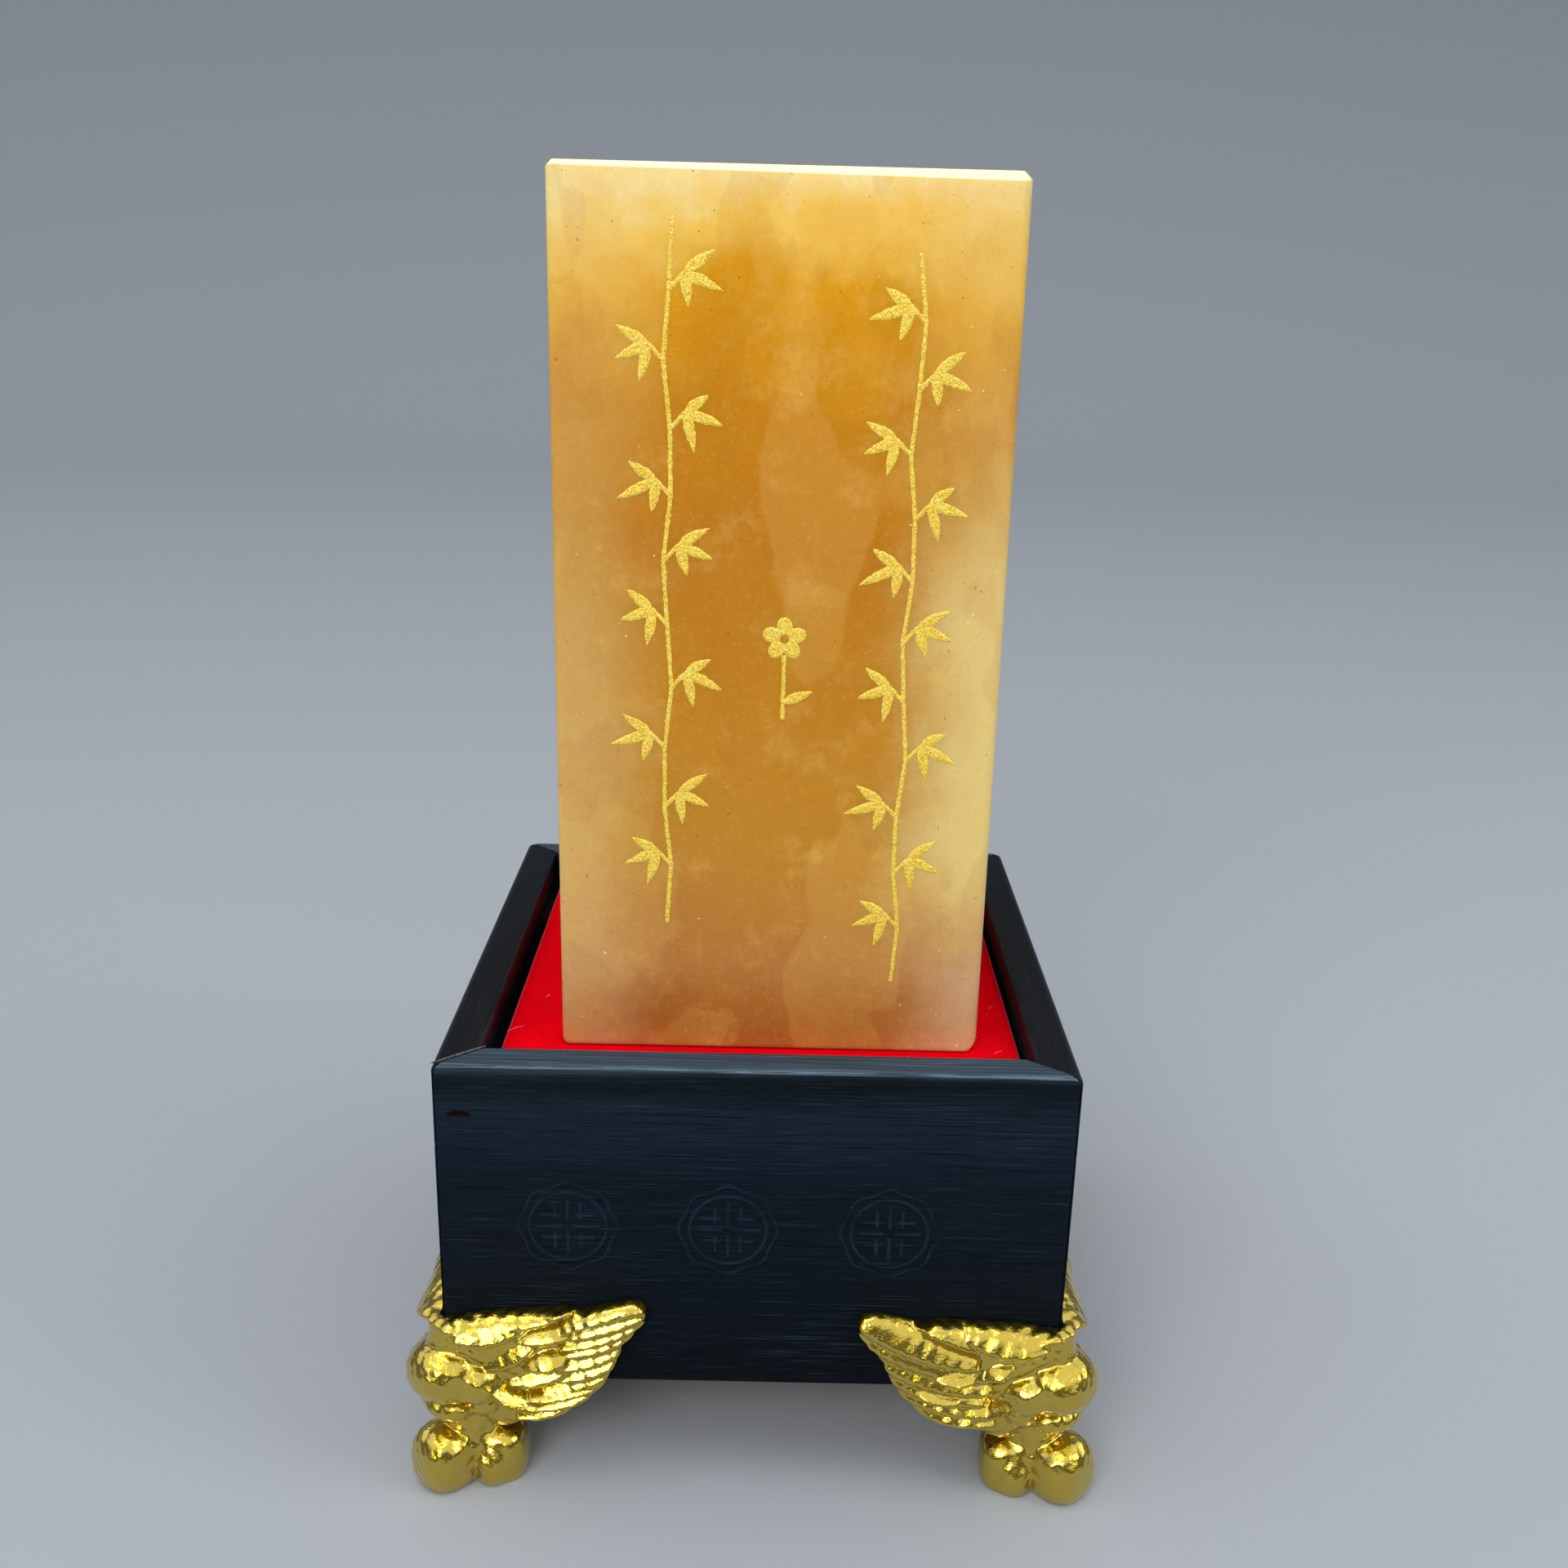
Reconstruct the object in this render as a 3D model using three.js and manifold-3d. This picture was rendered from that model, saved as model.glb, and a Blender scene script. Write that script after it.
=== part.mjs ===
// A square jade seal stamp on a black wooden display base with four gilt winged paw feet.
// Millimetres, +Z up. The origin lies on the ground, under the middle of the base.
import * as THREE from 'three';
import { mergeVertices } from 'three/addons/utils/BufferGeometryUtils.js';
import Module from 'manifold-3d';

// Display base: four mitred walls round a floor panel
const BASE_WIDTH = 74;
const GROUND_GAP = 14;
const WALL_HEIGHT = 42;
const WALL_THICKNESS = 4.8;
const RIM_ROUNDING = 0.6;
const RIM_STEPS = 4;
const FLOOR_THICKNESS = 3;

// Corner posts and ledgers glued inside the walls
const POST_WIDTH = 10;
const LEDGER_WIDTH = 5;
const LEDGER_HEIGHT = 5;

// Platform: a board with a flocked skin, loose enough to drop in between the walls
const PLATFORM_DROP = 3.3;
const PLATFORM_CLEARANCE = 0.95;
const PLATFORM_SHIFT = 0.3;
const BOARD_THICKNESS = 3;
const FLOCK_THICKNESS = 0.8;

// Stamp block
const STAMP_WIDTH = 50;
const STAMP_HEIGHT = 99.8;
const STAMP_SHIFT = 1.3;
const STAMP_TOP_CHAMFER = 0.75;
const STAMP_EDGE_CHAMFER = 0.5;

// Carved sealing face: a raised border round four square spirals
const SEAL_DEPTH = 1.2;
const SEAL_BORDER = 3;
const SEAL_LINE = 2.1;
const SEAL_CHANNEL = 2.1;

// Gilt inlays: bamboo sprays and a blossom, seen on the front face from its left bottom corner
const GILT_DEPTH = 0.4;
const GILT_RECESS = 0.05;
const GILT_CLEARANCE = 0.04;
const LEFT_SPRAY = { middle: 12.6, bottom: 16.4, height: 78, clusters: 11 };
const RIGHT_SPRAY = { middle: 39.2, bottom: 9.4, height: 82, clusters: 12 };
const BLOSSOM = { middle: 25.6, bottom: 41.5 };
const STEM_WIDTH = 0.55;
const STEM_SWAY = 0.5;
const STEM_TURN = 1.9;
const TWIG_REACH = 1.3;
const TWIG_RISE = 1.7;
const TWIG_SPREAD = 0.44;
const LEAF_WIDTH = 1.15;
const LEAF_ANGLES = [-78, -22, 33];
const LEAF_LENGTHS = [3.9, 4.4, 3.7];
const LEAF_BELLY = 0.4;
const LEAF_CROTCH = 0.55;
// Each cluster's leaves swing by up to so many degrees and stretch by up to so large a share
const LEAF_SWING = 5;
const SWING_TURN = 2.4;
const LEAF_STRETCH = 0.12;
const STRETCH_TURN = 1.7;
const PETALS = 5;
const PETAL_STEPS = 4;
const PETAL_REACH = 2.6;
const PETAL_NOTCH = 0.4;
const BLOSSOM_STEM = 9;

// Feet: places are measured from the base's corner, along the two walls, and up
const SOLE_LEVEL = 0;
const LOBE_SIDES = 8;
const LOBE_RINGS = 5;
// Paw lobes stand on the ground
const CORNER_TOE = { at: [-0.3, -0.3, 4], radii: [4.7, 4.3, 4.8] };
const SIDE_TOE = { at: [6, 1.4, 3.8], radii: [4.3, 4.3, 4.3] };
const PALM = { at: [3.3, 3.3, 4.9], radii: [5.2, 5.2, 5.3] };
// Leg lobes hang from the underside of the walls
const FETLOCK = { at: [1.2, 1.2, -1.4], radii: [4.5, 4.3, 2.5] };
const THIGH = { at: [0.4, 0.4, 2.6], radii: [5.2, 4.9, 3.1] };
const KNEE = { at: [3.9, -1.3, 1.5], radii: [3.2, 3, 2.5] };
const CHEEK = { at: [4.7, -1.3, -1.4], radii: [2, 1.8, 1.8] };
const SHIN = { at: [7.3, -0.2, -3.1], radii: [3, 1.5, 2.9] };
const ANKLE = { middle: 2.6, radius: 4.1, sides: 10 };
// Wing: a plate on the wall, and feathers from root to tip
const WING_PLATE = 1;
const FEATHER_SEAT = 0.2;
const PLATE_OUTLINE = [
  [-1, -4.5], [8, -5], [16.8, -3.4], [20.6, 0.4], [21.2, 3.8],
  [23.4, 7.4], [24.1, 10.2], [23.2, 11.7], [20, 11.4], [13, 10.6], [-1, 8.6],
];
const FEATHERS = [
  { root: [2, 9.7], tip: [5, 6.4], bow: 0, width: 2.6, crown: 3.6 },
  { root: [4, 8.1], tip: [12.2, 9.4], bow: -0.5, width: 5, crown: 3.9 },
  { root: [11, 9.9], tip: [16, 11.2], bow: -0.3, width: 2.2, crown: 2.6 },
  { root: [9.4, 7.2], tip: [15.4, 7.8], bow: -0.3, width: 3, crown: 3.3 },
  { root: [12.6, 9.2], tip: [24.2, 11], bow: -0.8, width: 3, crown: 2.5 },
  { root: [12.6, 7.2], tip: [24.6, 9.8], bow: -1.2, width: 2.8, crown: 2.3 },
  { root: [11.8, 5.3], tip: [24, 7.8], bow: -1.4, width: 3, crown: 2.1 },
  { root: [4.4, 5.3], tip: [10.4, 3.4], bow: -0.6, width: 4.6, crown: 3.6 },
  { root: [8, 2.4], tip: [14.8, 2.5], bow: -0.7, width: 4.8, crown: 3.1 },
  { root: [12.6, 2.5], tip: [21.7, 4.8], bow: -1, width: 2.7, crown: 2 },
  { root: [11.6, 0.4], tip: [21, 2.6], bow: -1.1, width: 2.8, crown: 1.9 },
  { root: [8.8, -1.9], tip: [19, -0.1], bow: -1, width: 2.8, crown: 2.2 },
  { root: [7.4, -4], tip: [17, -2.4], bow: -0.9, width: 2.8, crown: 2 },
];
const FEATHER_STATIONS = [[0, 0.5, 0.7], [0.5, 1, 1], [1, 0.25, 0.35]];
const FEATHER_SECTION = [[-1, 0], [0, 1], [1, 0]];

// Foot screws, driven from below through each foot's shelf
const SHELF_REACH = 14;
const SHELF_INSET = 0.5;
const SHELF_THICKNESS = 1.6;
const SHELF_CORNER = 4;
const SCREW_RADIUS = 1;
const SCREW_LENGTH = 10;
const SCREW_CLEARANCE = 0.3;
const PILOT_CLEARANCE = 0.12;
const HEAD_RADIUS = 2;
const HEAD_HEIGHT = 1.2;
const HEAD_EASE = 0.4;
const SLOT_WIDTH = 0.6;
const SLOT_DEPTH = 0.6;
const SCREW_SIDES = 12;

// Worked-out places
const HALF = BASE_WIDTH / 2;
const INNER_HALF = HALF - WALL_THICKNESS;
const UNDERSIDE = GROUND_GAP;
const FLOOR_TOP = UNDERSIDE + FLOOR_THICKNESS;
const RIM = UNDERSIDE + WALL_HEIGHT;
const FLOCK_TOP = RIM - PLATFORM_DROP;
const BOARD_TOP = FLOCK_TOP - FLOCK_THICKNESS;
const LEDGER_TOP = BOARD_TOP - BOARD_THICKNESS;
const PLATFORM_WIDTH = 2 * (INNER_HALF - PLATFORM_CLEARANCE);
const SCREW_PLACE = WALL_THICKNESS + POST_WIDTH / 2;
const STAMP_HALF = STAMP_WIDTH / 2;
const OVERCUT = 1;
const FAR = 200;

const wasm = await Module();
wasm.setup();

const materials = {
  jade: new THREE.MeshStandardMaterial({ color: 0xc98a24, roughness: 0.18, metalness: 0 }),
  gilt: new THREE.MeshStandardMaterial({ color: 0xd8a93a, roughness: 0.45, metalness: 0.9 }),
  ebonised: new THREE.MeshStandardMaterial({ color: 0x0d1118, roughness: 0.4, metalness: 0 }),
  plywood: new THREE.MeshStandardMaterial({ color: 0xb08a58, roughness: 0.8, metalness: 0 }),
  flock: new THREE.MeshStandardMaterial({ color: 0xc4061c, roughness: 0.95, metalness: 0 }),
  gold: new THREE.MeshStandardMaterial({ color: 0xd6a62c, roughness: 0.12, metalness: 1 }),
  steel: new THREE.MeshStandardMaterial({ color: 0x9a9a98, roughness: 0.35, metalness: 1 }),
};

const radians = THREE.MathUtils.degToRad;

// Closed triangle mesh from points and faces, turned so that its faces point out
function closedGeometry(points, faces) {
  let volume = 0;
  for (const [a, b, c] of faces) {
    volume += points[a].dot(new THREE.Vector3().crossVectors(points[b], points[c]));
  }
  const outward = volume < 0 ? faces.map(([a, b, c]) => [a, c, b]) : faces;
  const geometry = new THREE.BufferGeometry();
  geometry.setAttribute('position', new THREE.Float32BufferAttribute(points.flatMap((p) => p.toArray()), 3));
  geometry.setIndex(outward.flat());
  return geometry;
}

// Skin over convex rings of equal length, closed at both ends
function loft(rings) {
  const count = rings[0].length;
  const faces = [];
  for (let ring = 0; ring + 1 < rings.length; ring += 1) {
    for (let i = 0; i < count; i += 1) {
      const near = ring * count + i;
      const next = ring * count + ((i + 1) % count);
      faces.push([near, next, near + count], [next, next + count, near + count]);
    }
  }
  const last = (rings.length - 1) * count;
  for (let i = 1; i + 1 < count; i += 1) {
    faces.push([0, i + 1, i], [last, last + i, last + i + 1]);
  }
  return closedGeometry(rings.flat(), faces);
}

// Manifold solid from a closed three.js geometry
function solidOf(geometry) {
  const plain = geometry.clone();
  plain.deleteAttribute('normal');
  plain.deleteAttribute('uv');
  const merged = mergeVertices(plain, 1e-5);
  return new wasm.Manifold(new wasm.Mesh({
    numProp: 3,
    vertProperties: new Float32Array(merged.attributes.position.array),
    triVerts: new Uint32Array(merged.index.array),
  }));
}

// three.js geometry from a manifold solid
function geometryOf(solid) {
  const { vertProperties, triVerts } = solid.getMesh();
  const geometry = new THREE.BufferGeometry();
  geometry.setAttribute('position', new THREE.BufferAttribute(vertProperties, 3));
  geometry.setIndex(new THREE.BufferAttribute(triVerts, 1));
  return geometry;
}

function union(geometries) {
  return geometries.map(solidOf).reduce((whole, piece) => whole.add(piece));
}

// Box between two opposite corners
function block(low, high) {
  const size = high.map((value, axis) => value - low[axis]);
  const middle = high.map((value, axis) => (value + low[axis]) / 2);
  return new THREE.BoxGeometry(...size).translate(...middle);
}

// Upright cylinder between two levels
function post(x, y, bottom, top, radius, sides) {
  return new THREE.CylinderGeometry(radius, radius, top - bottom, sides)
    .rotateX(Math.PI / 2)
    .translate(x, y, (bottom + top) / 2);
}

function named(name, geometry, material) {
  const mesh = new THREE.Mesh(geometry, material);
  mesh.name = name;
  return mesh;
}

// Wall with a rounded outer top edge and ends cut at 45 degrees, drawn as the front one
function wallGeometry() {
  const section = [[0, 0]];
  for (let step = 0; step <= RIM_STEPS; step += 1) {
    const turn = (step / RIM_STEPS) * Math.PI / 2;
    section.push([
      RIM_ROUNDING * (1 - Math.cos(turn)),
      WALL_HEIGHT - RIM_ROUNDING * (1 - Math.sin(turn)),
    ]);
  }
  section.push([WALL_THICKNESS, WALL_HEIGHT], [WALL_THICKNESS, 0]);
  const end = (side) => section.map(([inward, up]) => (
    new THREE.Vector3(side * (HALF - inward), inward - HALF, up)
  ));
  return loft([end(-1), end(1)]);
}

function addWalls(group) {
  const names = ['front_wall', 'right_wall', 'back_wall', 'left_wall'];
  names.forEach((name, quarter) => {
    const wall = named(name, wallGeometry(), materials.ebonised);
    wall.rotation.z = quarter * Math.PI / 2;
    wall.position.z = UNDERSIDE;
    group.add(wall);
  });
}

// Four places, one for each corner, with the direction from the middle to it
const CORNERS = [
  { name: 'front_left', x: -1, y: -1 },
  { name: 'front_right', x: 1, y: -1 },
  { name: 'back_left', x: -1, y: 1 },
  { name: 'back_right', x: 1, y: 1 },
];

function addFrame(group) {
  const half = POST_WIDTH / 2;
  const clearanceRadius = SCREW_RADIUS + SCREW_CLEARANCE;
  const pilotRadius = SCREW_RADIUS + PILOT_CLEARANCE;
  const pilotTop = UNDERSIDE - SHELF_THICKNESS + SCREW_LENGTH + SCREW_CLEARANCE;
  let floor = solidOf(block([-INNER_HALF, -INNER_HALF, UNDERSIDE], [INNER_HALF, INNER_HALF, FLOOR_TOP]));
  for (const corner of CORNERS) {
    const x = corner.x * (HALF - SCREW_PLACE);
    const y = corner.y * (HALF - SCREW_PLACE);
    const clearance = post(x, y, UNDERSIDE - OVERCUT, FLOOR_TOP + OVERCUT, clearanceRadius, SCREW_SIDES);
    floor = floor.subtract(solidOf(clearance));

    const body = block([x - half, y - half, FLOOR_TOP], [x + half, y + half, LEDGER_TOP]);
    const pilot = post(x, y, FLOOR_TOP - OVERCUT, pilotTop, pilotRadius, SCREW_SIDES);
    const drilled = solidOf(body).subtract(solidOf(pilot));
    group.add(named(`${corner.name}_post`, geometryOf(drilled), materials.plywood));
  }
  group.add(named('floor_panel', geometryOf(floor), materials.plywood));

  const reach = INNER_HALF - POST_WIDTH;
  const ledger = block(
    [-reach, -INNER_HALF, LEDGER_TOP - LEDGER_HEIGHT],
    [reach, LEDGER_WIDTH - INNER_HALF, LEDGER_TOP],
  );
  ['front_ledger', 'right_ledger', 'back_ledger', 'left_ledger'].forEach((name, quarter) => {
    const mesh = named(name, ledger, materials.plywood);
    mesh.rotation.z = quarter * Math.PI / 2;
    group.add(mesh);
  });
}

function addPlatform(group) {
  const board = new THREE.BoxGeometry(PLATFORM_WIDTH, PLATFORM_WIDTH, BOARD_THICKNESS);
  const flock = new THREE.BoxGeometry(PLATFORM_WIDTH, PLATFORM_WIDTH, FLOCK_THICKNESS);
  const boardMesh = named('platform_board', board, materials.plywood);
  const flockMesh = named('platform_flock', flock, materials.flock);
  boardMesh.position.set(PLATFORM_SHIFT, 0, BOARD_TOP - BOARD_THICKNESS / 2);
  flockMesh.position.set(PLATFORM_SHIFT, 0, FLOCK_TOP - FLOCK_THICKNESS / 2);
  group.add(boardMesh, flockMesh);
}

// Square ring with its corners cut, at one level of the stamp block
function stampRing(level, inset) {
  const side = STAMP_HALF - inset;
  const cut = side - STAMP_EDGE_CHAMFER;
  return [
    [cut, -side], [side, -cut], [side, cut], [cut, side],
    [-cut, side], [-side, cut], [-side, -cut], [-cut, -side],
  ].map(([x, y]) => new THREE.Vector3(x, y, level));
}

// Outline moved out by a distance, each corner to where its two moved sides meet
function offsetOutline(points, distance) {
  return points.map((point, i) => {
    const before = points.at(i - 1);
    const after = points[(i + 1) % points.length];
    const normalIn = new THREE.Vector2(point.y - before.y, before.x - point.x).normalize();
    const normalOut = new THREE.Vector2(after.y - point.y, point.x - after.x).normalize();
    const share = distance / (1 + normalIn.dot(normalOut));
    return point.clone().addScaledVector(normalIn.add(normalOut), share);
  });
}

// Point at a distance and an angle from another
function polar(from, angle, distance) {
  return new THREE.Vector2(from.x + distance * Math.cos(angle), from.y + distance * Math.sin(angle));
}

// Belly, tip and belly of a leaf that grows from a fork, walked anticlockwise
function leafPoints(fork, angle, length) {
  const belly = polar(fork, angle, length * LEAF_BELLY);
  return [
    polar(belly, angle - Math.PI / 2, LEAF_WIDTH / 2),
    polar(fork, angle, length),
    polar(belly, angle + Math.PI / 2, LEAF_WIDTH / 2),
  ];
}

// Twig and its leaves on the right of the stem, walked from the bottom to the top
function clusterPoints(cluster) {
  const half = STEM_WIDTH / 2;
  const fork = new THREE.Vector2(half + TWIG_REACH, TWIG_RISE);
  const points = [new THREE.Vector2(half, -half)];
  const angles = LEAF_ANGLES.map((angle, leaf) => (
    radians(angle + LEAF_SWING * Math.sin(SWING_TURN * cluster + leaf))
  ));
  angles.forEach((angle, leaf) => {
    const length = LEAF_LENGTHS[leaf] * (1 + LEAF_STRETCH * Math.sin(STRETCH_TURN * cluster + 2 * leaf));
    if (leaf > 0) points.push(polar(fork, (angle + angles[leaf - 1]) / 2, LEAF_CROTCH));
    points.push(...leafPoints(fork, angle, length));
  });
  points.push(new THREE.Vector2(half, TWIG_SPREAD));
  return points;
}

// Bamboo spray: a swaying stem with leaves on alternate sides
function sprayOutline({ middle, bottom, height, clusters }) {
  const pitch = height / clusters;
  const half = STEM_WIDTH / 2;
  const right = [];
  const left = [];
  for (let i = 0; i <= clusters; i += 1) {
    const joint = new THREE.Vector2(middle + STEM_SWAY * Math.sin(STEM_TURN * i), bottom + i * pitch);
    const isEnd = i === 0 || i === clusters;
    const isRight = i % 2 === 0;
    if (isEnd || isRight) left.push(new THREE.Vector2(joint.x - half, joint.y));
    if (isEnd || !isRight) right.push(new THREE.Vector2(joint.x + half, joint.y));
    if (isEnd) continue;
    for (const point of clusterPoints(i)) {
      if (isRight) right.push(point.add(joint));
      else left.push(new THREE.Vector2(joint.x - point.x, joint.y + point.y));
    }
  }
  return [...right, ...left.reverse()];
}

// Five-petalled blossom on a short stem with one leaf
function blossomOutline({ middle, bottom }) {
  const centre = new THREE.Vector2(middle, bottom + BLOSSOM_STEM);
  const half = STEM_WIDTH / 2;
  const points = [
    new THREE.Vector2(middle - half, bottom),
    new THREE.Vector2(middle + half, bottom),
    ...leafPoints(new THREE.Vector2(middle, bottom + TWIG_RISE), radians(-LEAF_ANGLES[1]), LEAF_LENGTHS[2]),
    new THREE.Vector2(middle + half, bottom + BLOSSOM_STEM - PETAL_REACH),
  ];
  const steps = PETALS * PETAL_STEPS;
  for (let step = 1; step < steps; step += 1) {
    const turn = (step / steps) * 2 * Math.PI;
    const reach = PETAL_REACH * (1 - PETAL_NOTCH * (1 - Math.abs(Math.sin(turn * PETALS / 2))));
    points.push(polar(centre, turn - Math.PI / 2, reach));
  }
  points.push(new THREE.Vector2(middle - half, bottom + BLOSSOM_STEM - PETAL_REACH));
  return points;
}

// Solid under an outline drawn on the front face, from one depth to a deeper one
function engraved(outline, shallow, deep) {
  const geometry = new THREE.ExtrudeGeometry(new THREE.Shape(outline), {
    depth: deep - shallow,
    bevelEnabled: false,
  });
  geometry.translate(-STAMP_HALF, 0, -deep).rotateX(Math.PI / 2).translate(0, -STAMP_HALF, 0);
  return solidOf(geometry);
}

// Square spiral channel in one quarter of the sealing face, from its outer end inwards
function spiralChannel() {
  const pitch = SEAL_LINE + SEAL_CHANNEL;
  const outer = SEAL_BORDER + SEAL_CHANNEL / 2 - STAMP_HALF;
  const inner = -(SEAL_LINE + SEAL_CHANNEL) / 2;
  let [x0, y0, x1, y1] = [outer, outer, inner, inner];
  const points = [[x0, y0]];
  while (x1 - x0 > pitch) {
    points.push([x1, y0], [x1, y1], [x0, y1], [x0, y0 + pitch]);
    x0 += pitch;
    y0 += pitch;
    x1 -= pitch;
    y1 -= pitch;
  }
  points.push([x1, y0]);
  return points;
}

// Solid of the channels in all four quarters, cut up into the block's underside
function sealChannels() {
  const half = SEAL_CHANNEL / 2;
  const points = spiralChannel();
  const runs = points.slice(1).map(([x, y], i) => {
    const [fromX, fromY] = points[i];
    return block(
      [Math.min(x, fromX) - half, Math.min(y, fromY) - half, -OVERCUT],
      [Math.max(x, fromX) + half, Math.max(y, fromY) + half, SEAL_DEPTH],
    );
  });
  const quarter = geometryOf(union(runs));
  return union([0, 1, 2, 3].map((turn) => quarter.clone().rotateZ(turn * Math.PI / 2)));
}

function addStamp(group) {
  const levels = [
    [0, STAMP_EDGE_CHAMFER],
    [STAMP_EDGE_CHAMFER, 0],
    [STAMP_HEIGHT - STAMP_TOP_CHAMFER, 0],
    [STAMP_HEIGHT, STAMP_TOP_CHAMFER],
  ];
  const blank = solidOf(loft(levels.map(([level, inset]) => stampRing(level, inset))));
  const motifs = [
    { name: 'left_gilt_band', outline: sprayOutline(LEFT_SPRAY) },
    { name: 'right_gilt_band', outline: sprayOutline(RIGHT_SPRAY) },
    { name: 'centre_gilt_motif', outline: blossomOutline(BLOSSOM) },
  ];
  let carved = blank.subtract(sealChannels());
  const stamp = new THREE.Group();
  for (const { name, outline } of motifs) {
    carved = carved.subtract(engraved(offsetOutline(outline, GILT_CLEARANCE), -OVERCUT, GILT_DEPTH));
    stamp.add(named(name, geometryOf(engraved(outline, GILT_RECESS, GILT_DEPTH)), materials.gilt));
  }
  stamp.add(named('stamp_block', geometryOf(carved), materials.jade));
  stamp.position.set(STAMP_SHIFT, 0, FLOCK_TOP);
  group.add(stamp);
}

// Rounded lobe of a foot; radii run along the corner's diagonal, across it and up
function lobe({ at, radii }, level) {
  return new THREE.SphereGeometry(1, LOBE_SIDES, LOBE_RINGS)
    .rotateX(Math.PI / 2)
    .scale(...radii)
    .rotateZ(Math.PI / 4)
    .translate(at[0], at[1], at[2] + level);
}

// The same geometry on the other wall of the corner
function acrossCorner(geometry) {
  const mirrored = geometry.clone();
  const position = mirrored.attributes.position;
  for (let i = 0; i < position.count; i += 1) {
    position.setXY(i, position.getY(i), position.getX(i));
  }
  return turnedInsideOut(mirrored);
}

// Reversed winding, for a geometry that was mirrored
function turnedInsideOut(geometry) {
  const index = geometry.index.array;
  for (let i = 0; i < index.length; i += 3) {
    [index[i + 1], index[i + 2]] = [index[i + 2], index[i + 1]];
  }
  return geometry;
}

// Feather on the front wall: a ridge that follows a bowed line and thins out at both ends
function feather({ root, tip, bow, width, crown }) {
  const start = new THREE.Vector2(...root);
  const end = new THREE.Vector2(...tip);
  const chord = new THREE.Vector2().subVectors(end, start);
  const normal = new THREE.Vector2(-chord.y, chord.x).normalize();
  const control = start.clone().lerp(end, 0.5).addScaledVector(normal, 2 * bow);
  const line = new THREE.QuadraticBezierCurve(start, control, end);
  const rings = FEATHER_STATIONS.map(([t, spread, rise]) => {
    const centre = line.getPoint(t);
    const tangent = line.getTangent(t);
    return FEATHER_SECTION.map(([across, up]) => {
      const offset = across * spread * width / 2;
      return new THREE.Vector3(
        centre.x - tangent.y * offset,
        -FEATHER_SEAT - up * rise * (crown - FEATHER_SEAT),
        UNDERSIDE + centre.y + tangent.x * offset,
      );
    });
  });
  return loft(rings);
}

// Backing plate of a wing on the front wall; its back is cut flush with the wall later
function wingPlate() {
  const outline = new THREE.Shape(PLATE_OUTLINE.map(([x, y]) => new THREE.Vector2(x, y)));
  return new THREE.ExtrudeGeometry(outline, { depth: WING_PLATE + OVERCUT, bevelEnabled: false })
    .rotateX(Math.PI / 2)
    .translate(0, OVERCUT, UNDERSIDE);
}

// Shelf under the floor panel, with its inner corner cut off; its top is cut flush later
function shelfGeometry() {
  const outline = new THREE.Shape([
    new THREE.Vector2(SHELF_INSET, SHELF_INSET),
    new THREE.Vector2(SHELF_REACH, SHELF_INSET),
    new THREE.Vector2(SHELF_REACH, SHELF_REACH - SHELF_CORNER),
    new THREE.Vector2(SHELF_REACH - SHELF_CORNER, SHELF_REACH),
    new THREE.Vector2(SHELF_INSET, SHELF_REACH),
  ]);
  return new THREE.ExtrudeGeometry(outline, { depth: SHELF_THICKNESS + OVERCUT, bevelEnabled: false })
    .translate(0, 0, UNDERSIDE - SHELF_THICKNESS);
}

// One foot with the base's corner edge at x = y = 0 and the base towards +X and +Y
function footSolid() {
  const ankleTop = UNDERSIDE + THIGH.at[2];
  const ankle = post(ANKLE.middle, ANKLE.middle, PALM.at[2], ankleTop, ANKLE.radius, ANKLE.sides);
  const single = [
    lobe(CORNER_TOE, SOLE_LEVEL),
    lobe(PALM, SOLE_LEVEL),
    lobe(FETLOCK, UNDERSIDE),
    lobe(THIGH, UNDERSIDE),
    ankle,
    shelfGeometry(),
  ];
  const paired = [
    lobe(SIDE_TOE, SOLE_LEVEL),
    lobe(KNEE, UNDERSIDE),
    lobe(CHEEK, UNDERSIDE),
    lobe(SHIN, UNDERSIDE),
    wingPlate(),
    ...FEATHERS.map(feather),
  ];
  const holeRadius = SCREW_RADIUS + SCREW_CLEARANCE;
  const screwHole = post(SCREW_PLACE, SCREW_PLACE, SOLE_LEVEL, UNDERSIDE + OVERCUT, holeRadius, SCREW_SIDES);
  const oneSide = union(paired);
  const otherSide = solidOf(acrossCorner(geometryOf(oneSide)));
  return union(single).add(oneSide).add(otherSide)
    .subtract(solidOf(block([0, 0, UNDERSIDE], [FAR, FAR, FAR])))
    .subtract(solidOf(block([-FAR, -FAR, -FAR], [FAR, FAR, SOLE_LEVEL])))
    .subtract(solidOf(screwHole));
}

// Pan-head screw with a slot, its head up against the shelf
function screwSolid() {
  const seat = UNDERSIDE - SHELF_THICKNESS;
  const profile = [
    [0, seat - HEAD_HEIGHT],
    [HEAD_RADIUS - HEAD_EASE, seat - HEAD_HEIGHT],
    [HEAD_RADIUS, seat - HEAD_HEIGHT / 2],
    [HEAD_RADIUS, seat],
    [SCREW_RADIUS, seat],
    [SCREW_RADIUS, seat + SCREW_LENGTH],
    [0, seat + SCREW_LENGTH],
  ].map(([radius, level]) => new THREE.Vector2(radius, level));
  const turned = new THREE.LatheGeometry(profile, SCREW_SIDES).rotateX(Math.PI / 2);
  const slot = block(
    [-HEAD_RADIUS - OVERCUT, -SLOT_WIDTH / 2, seat - HEAD_HEIGHT - OVERCUT],
    [HEAD_RADIUS + OVERCUT, SLOT_WIDTH / 2, seat - HEAD_HEIGHT + SLOT_DEPTH],
  );
  return solidOf(turned).subtract(solidOf(slot));
}

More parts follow.
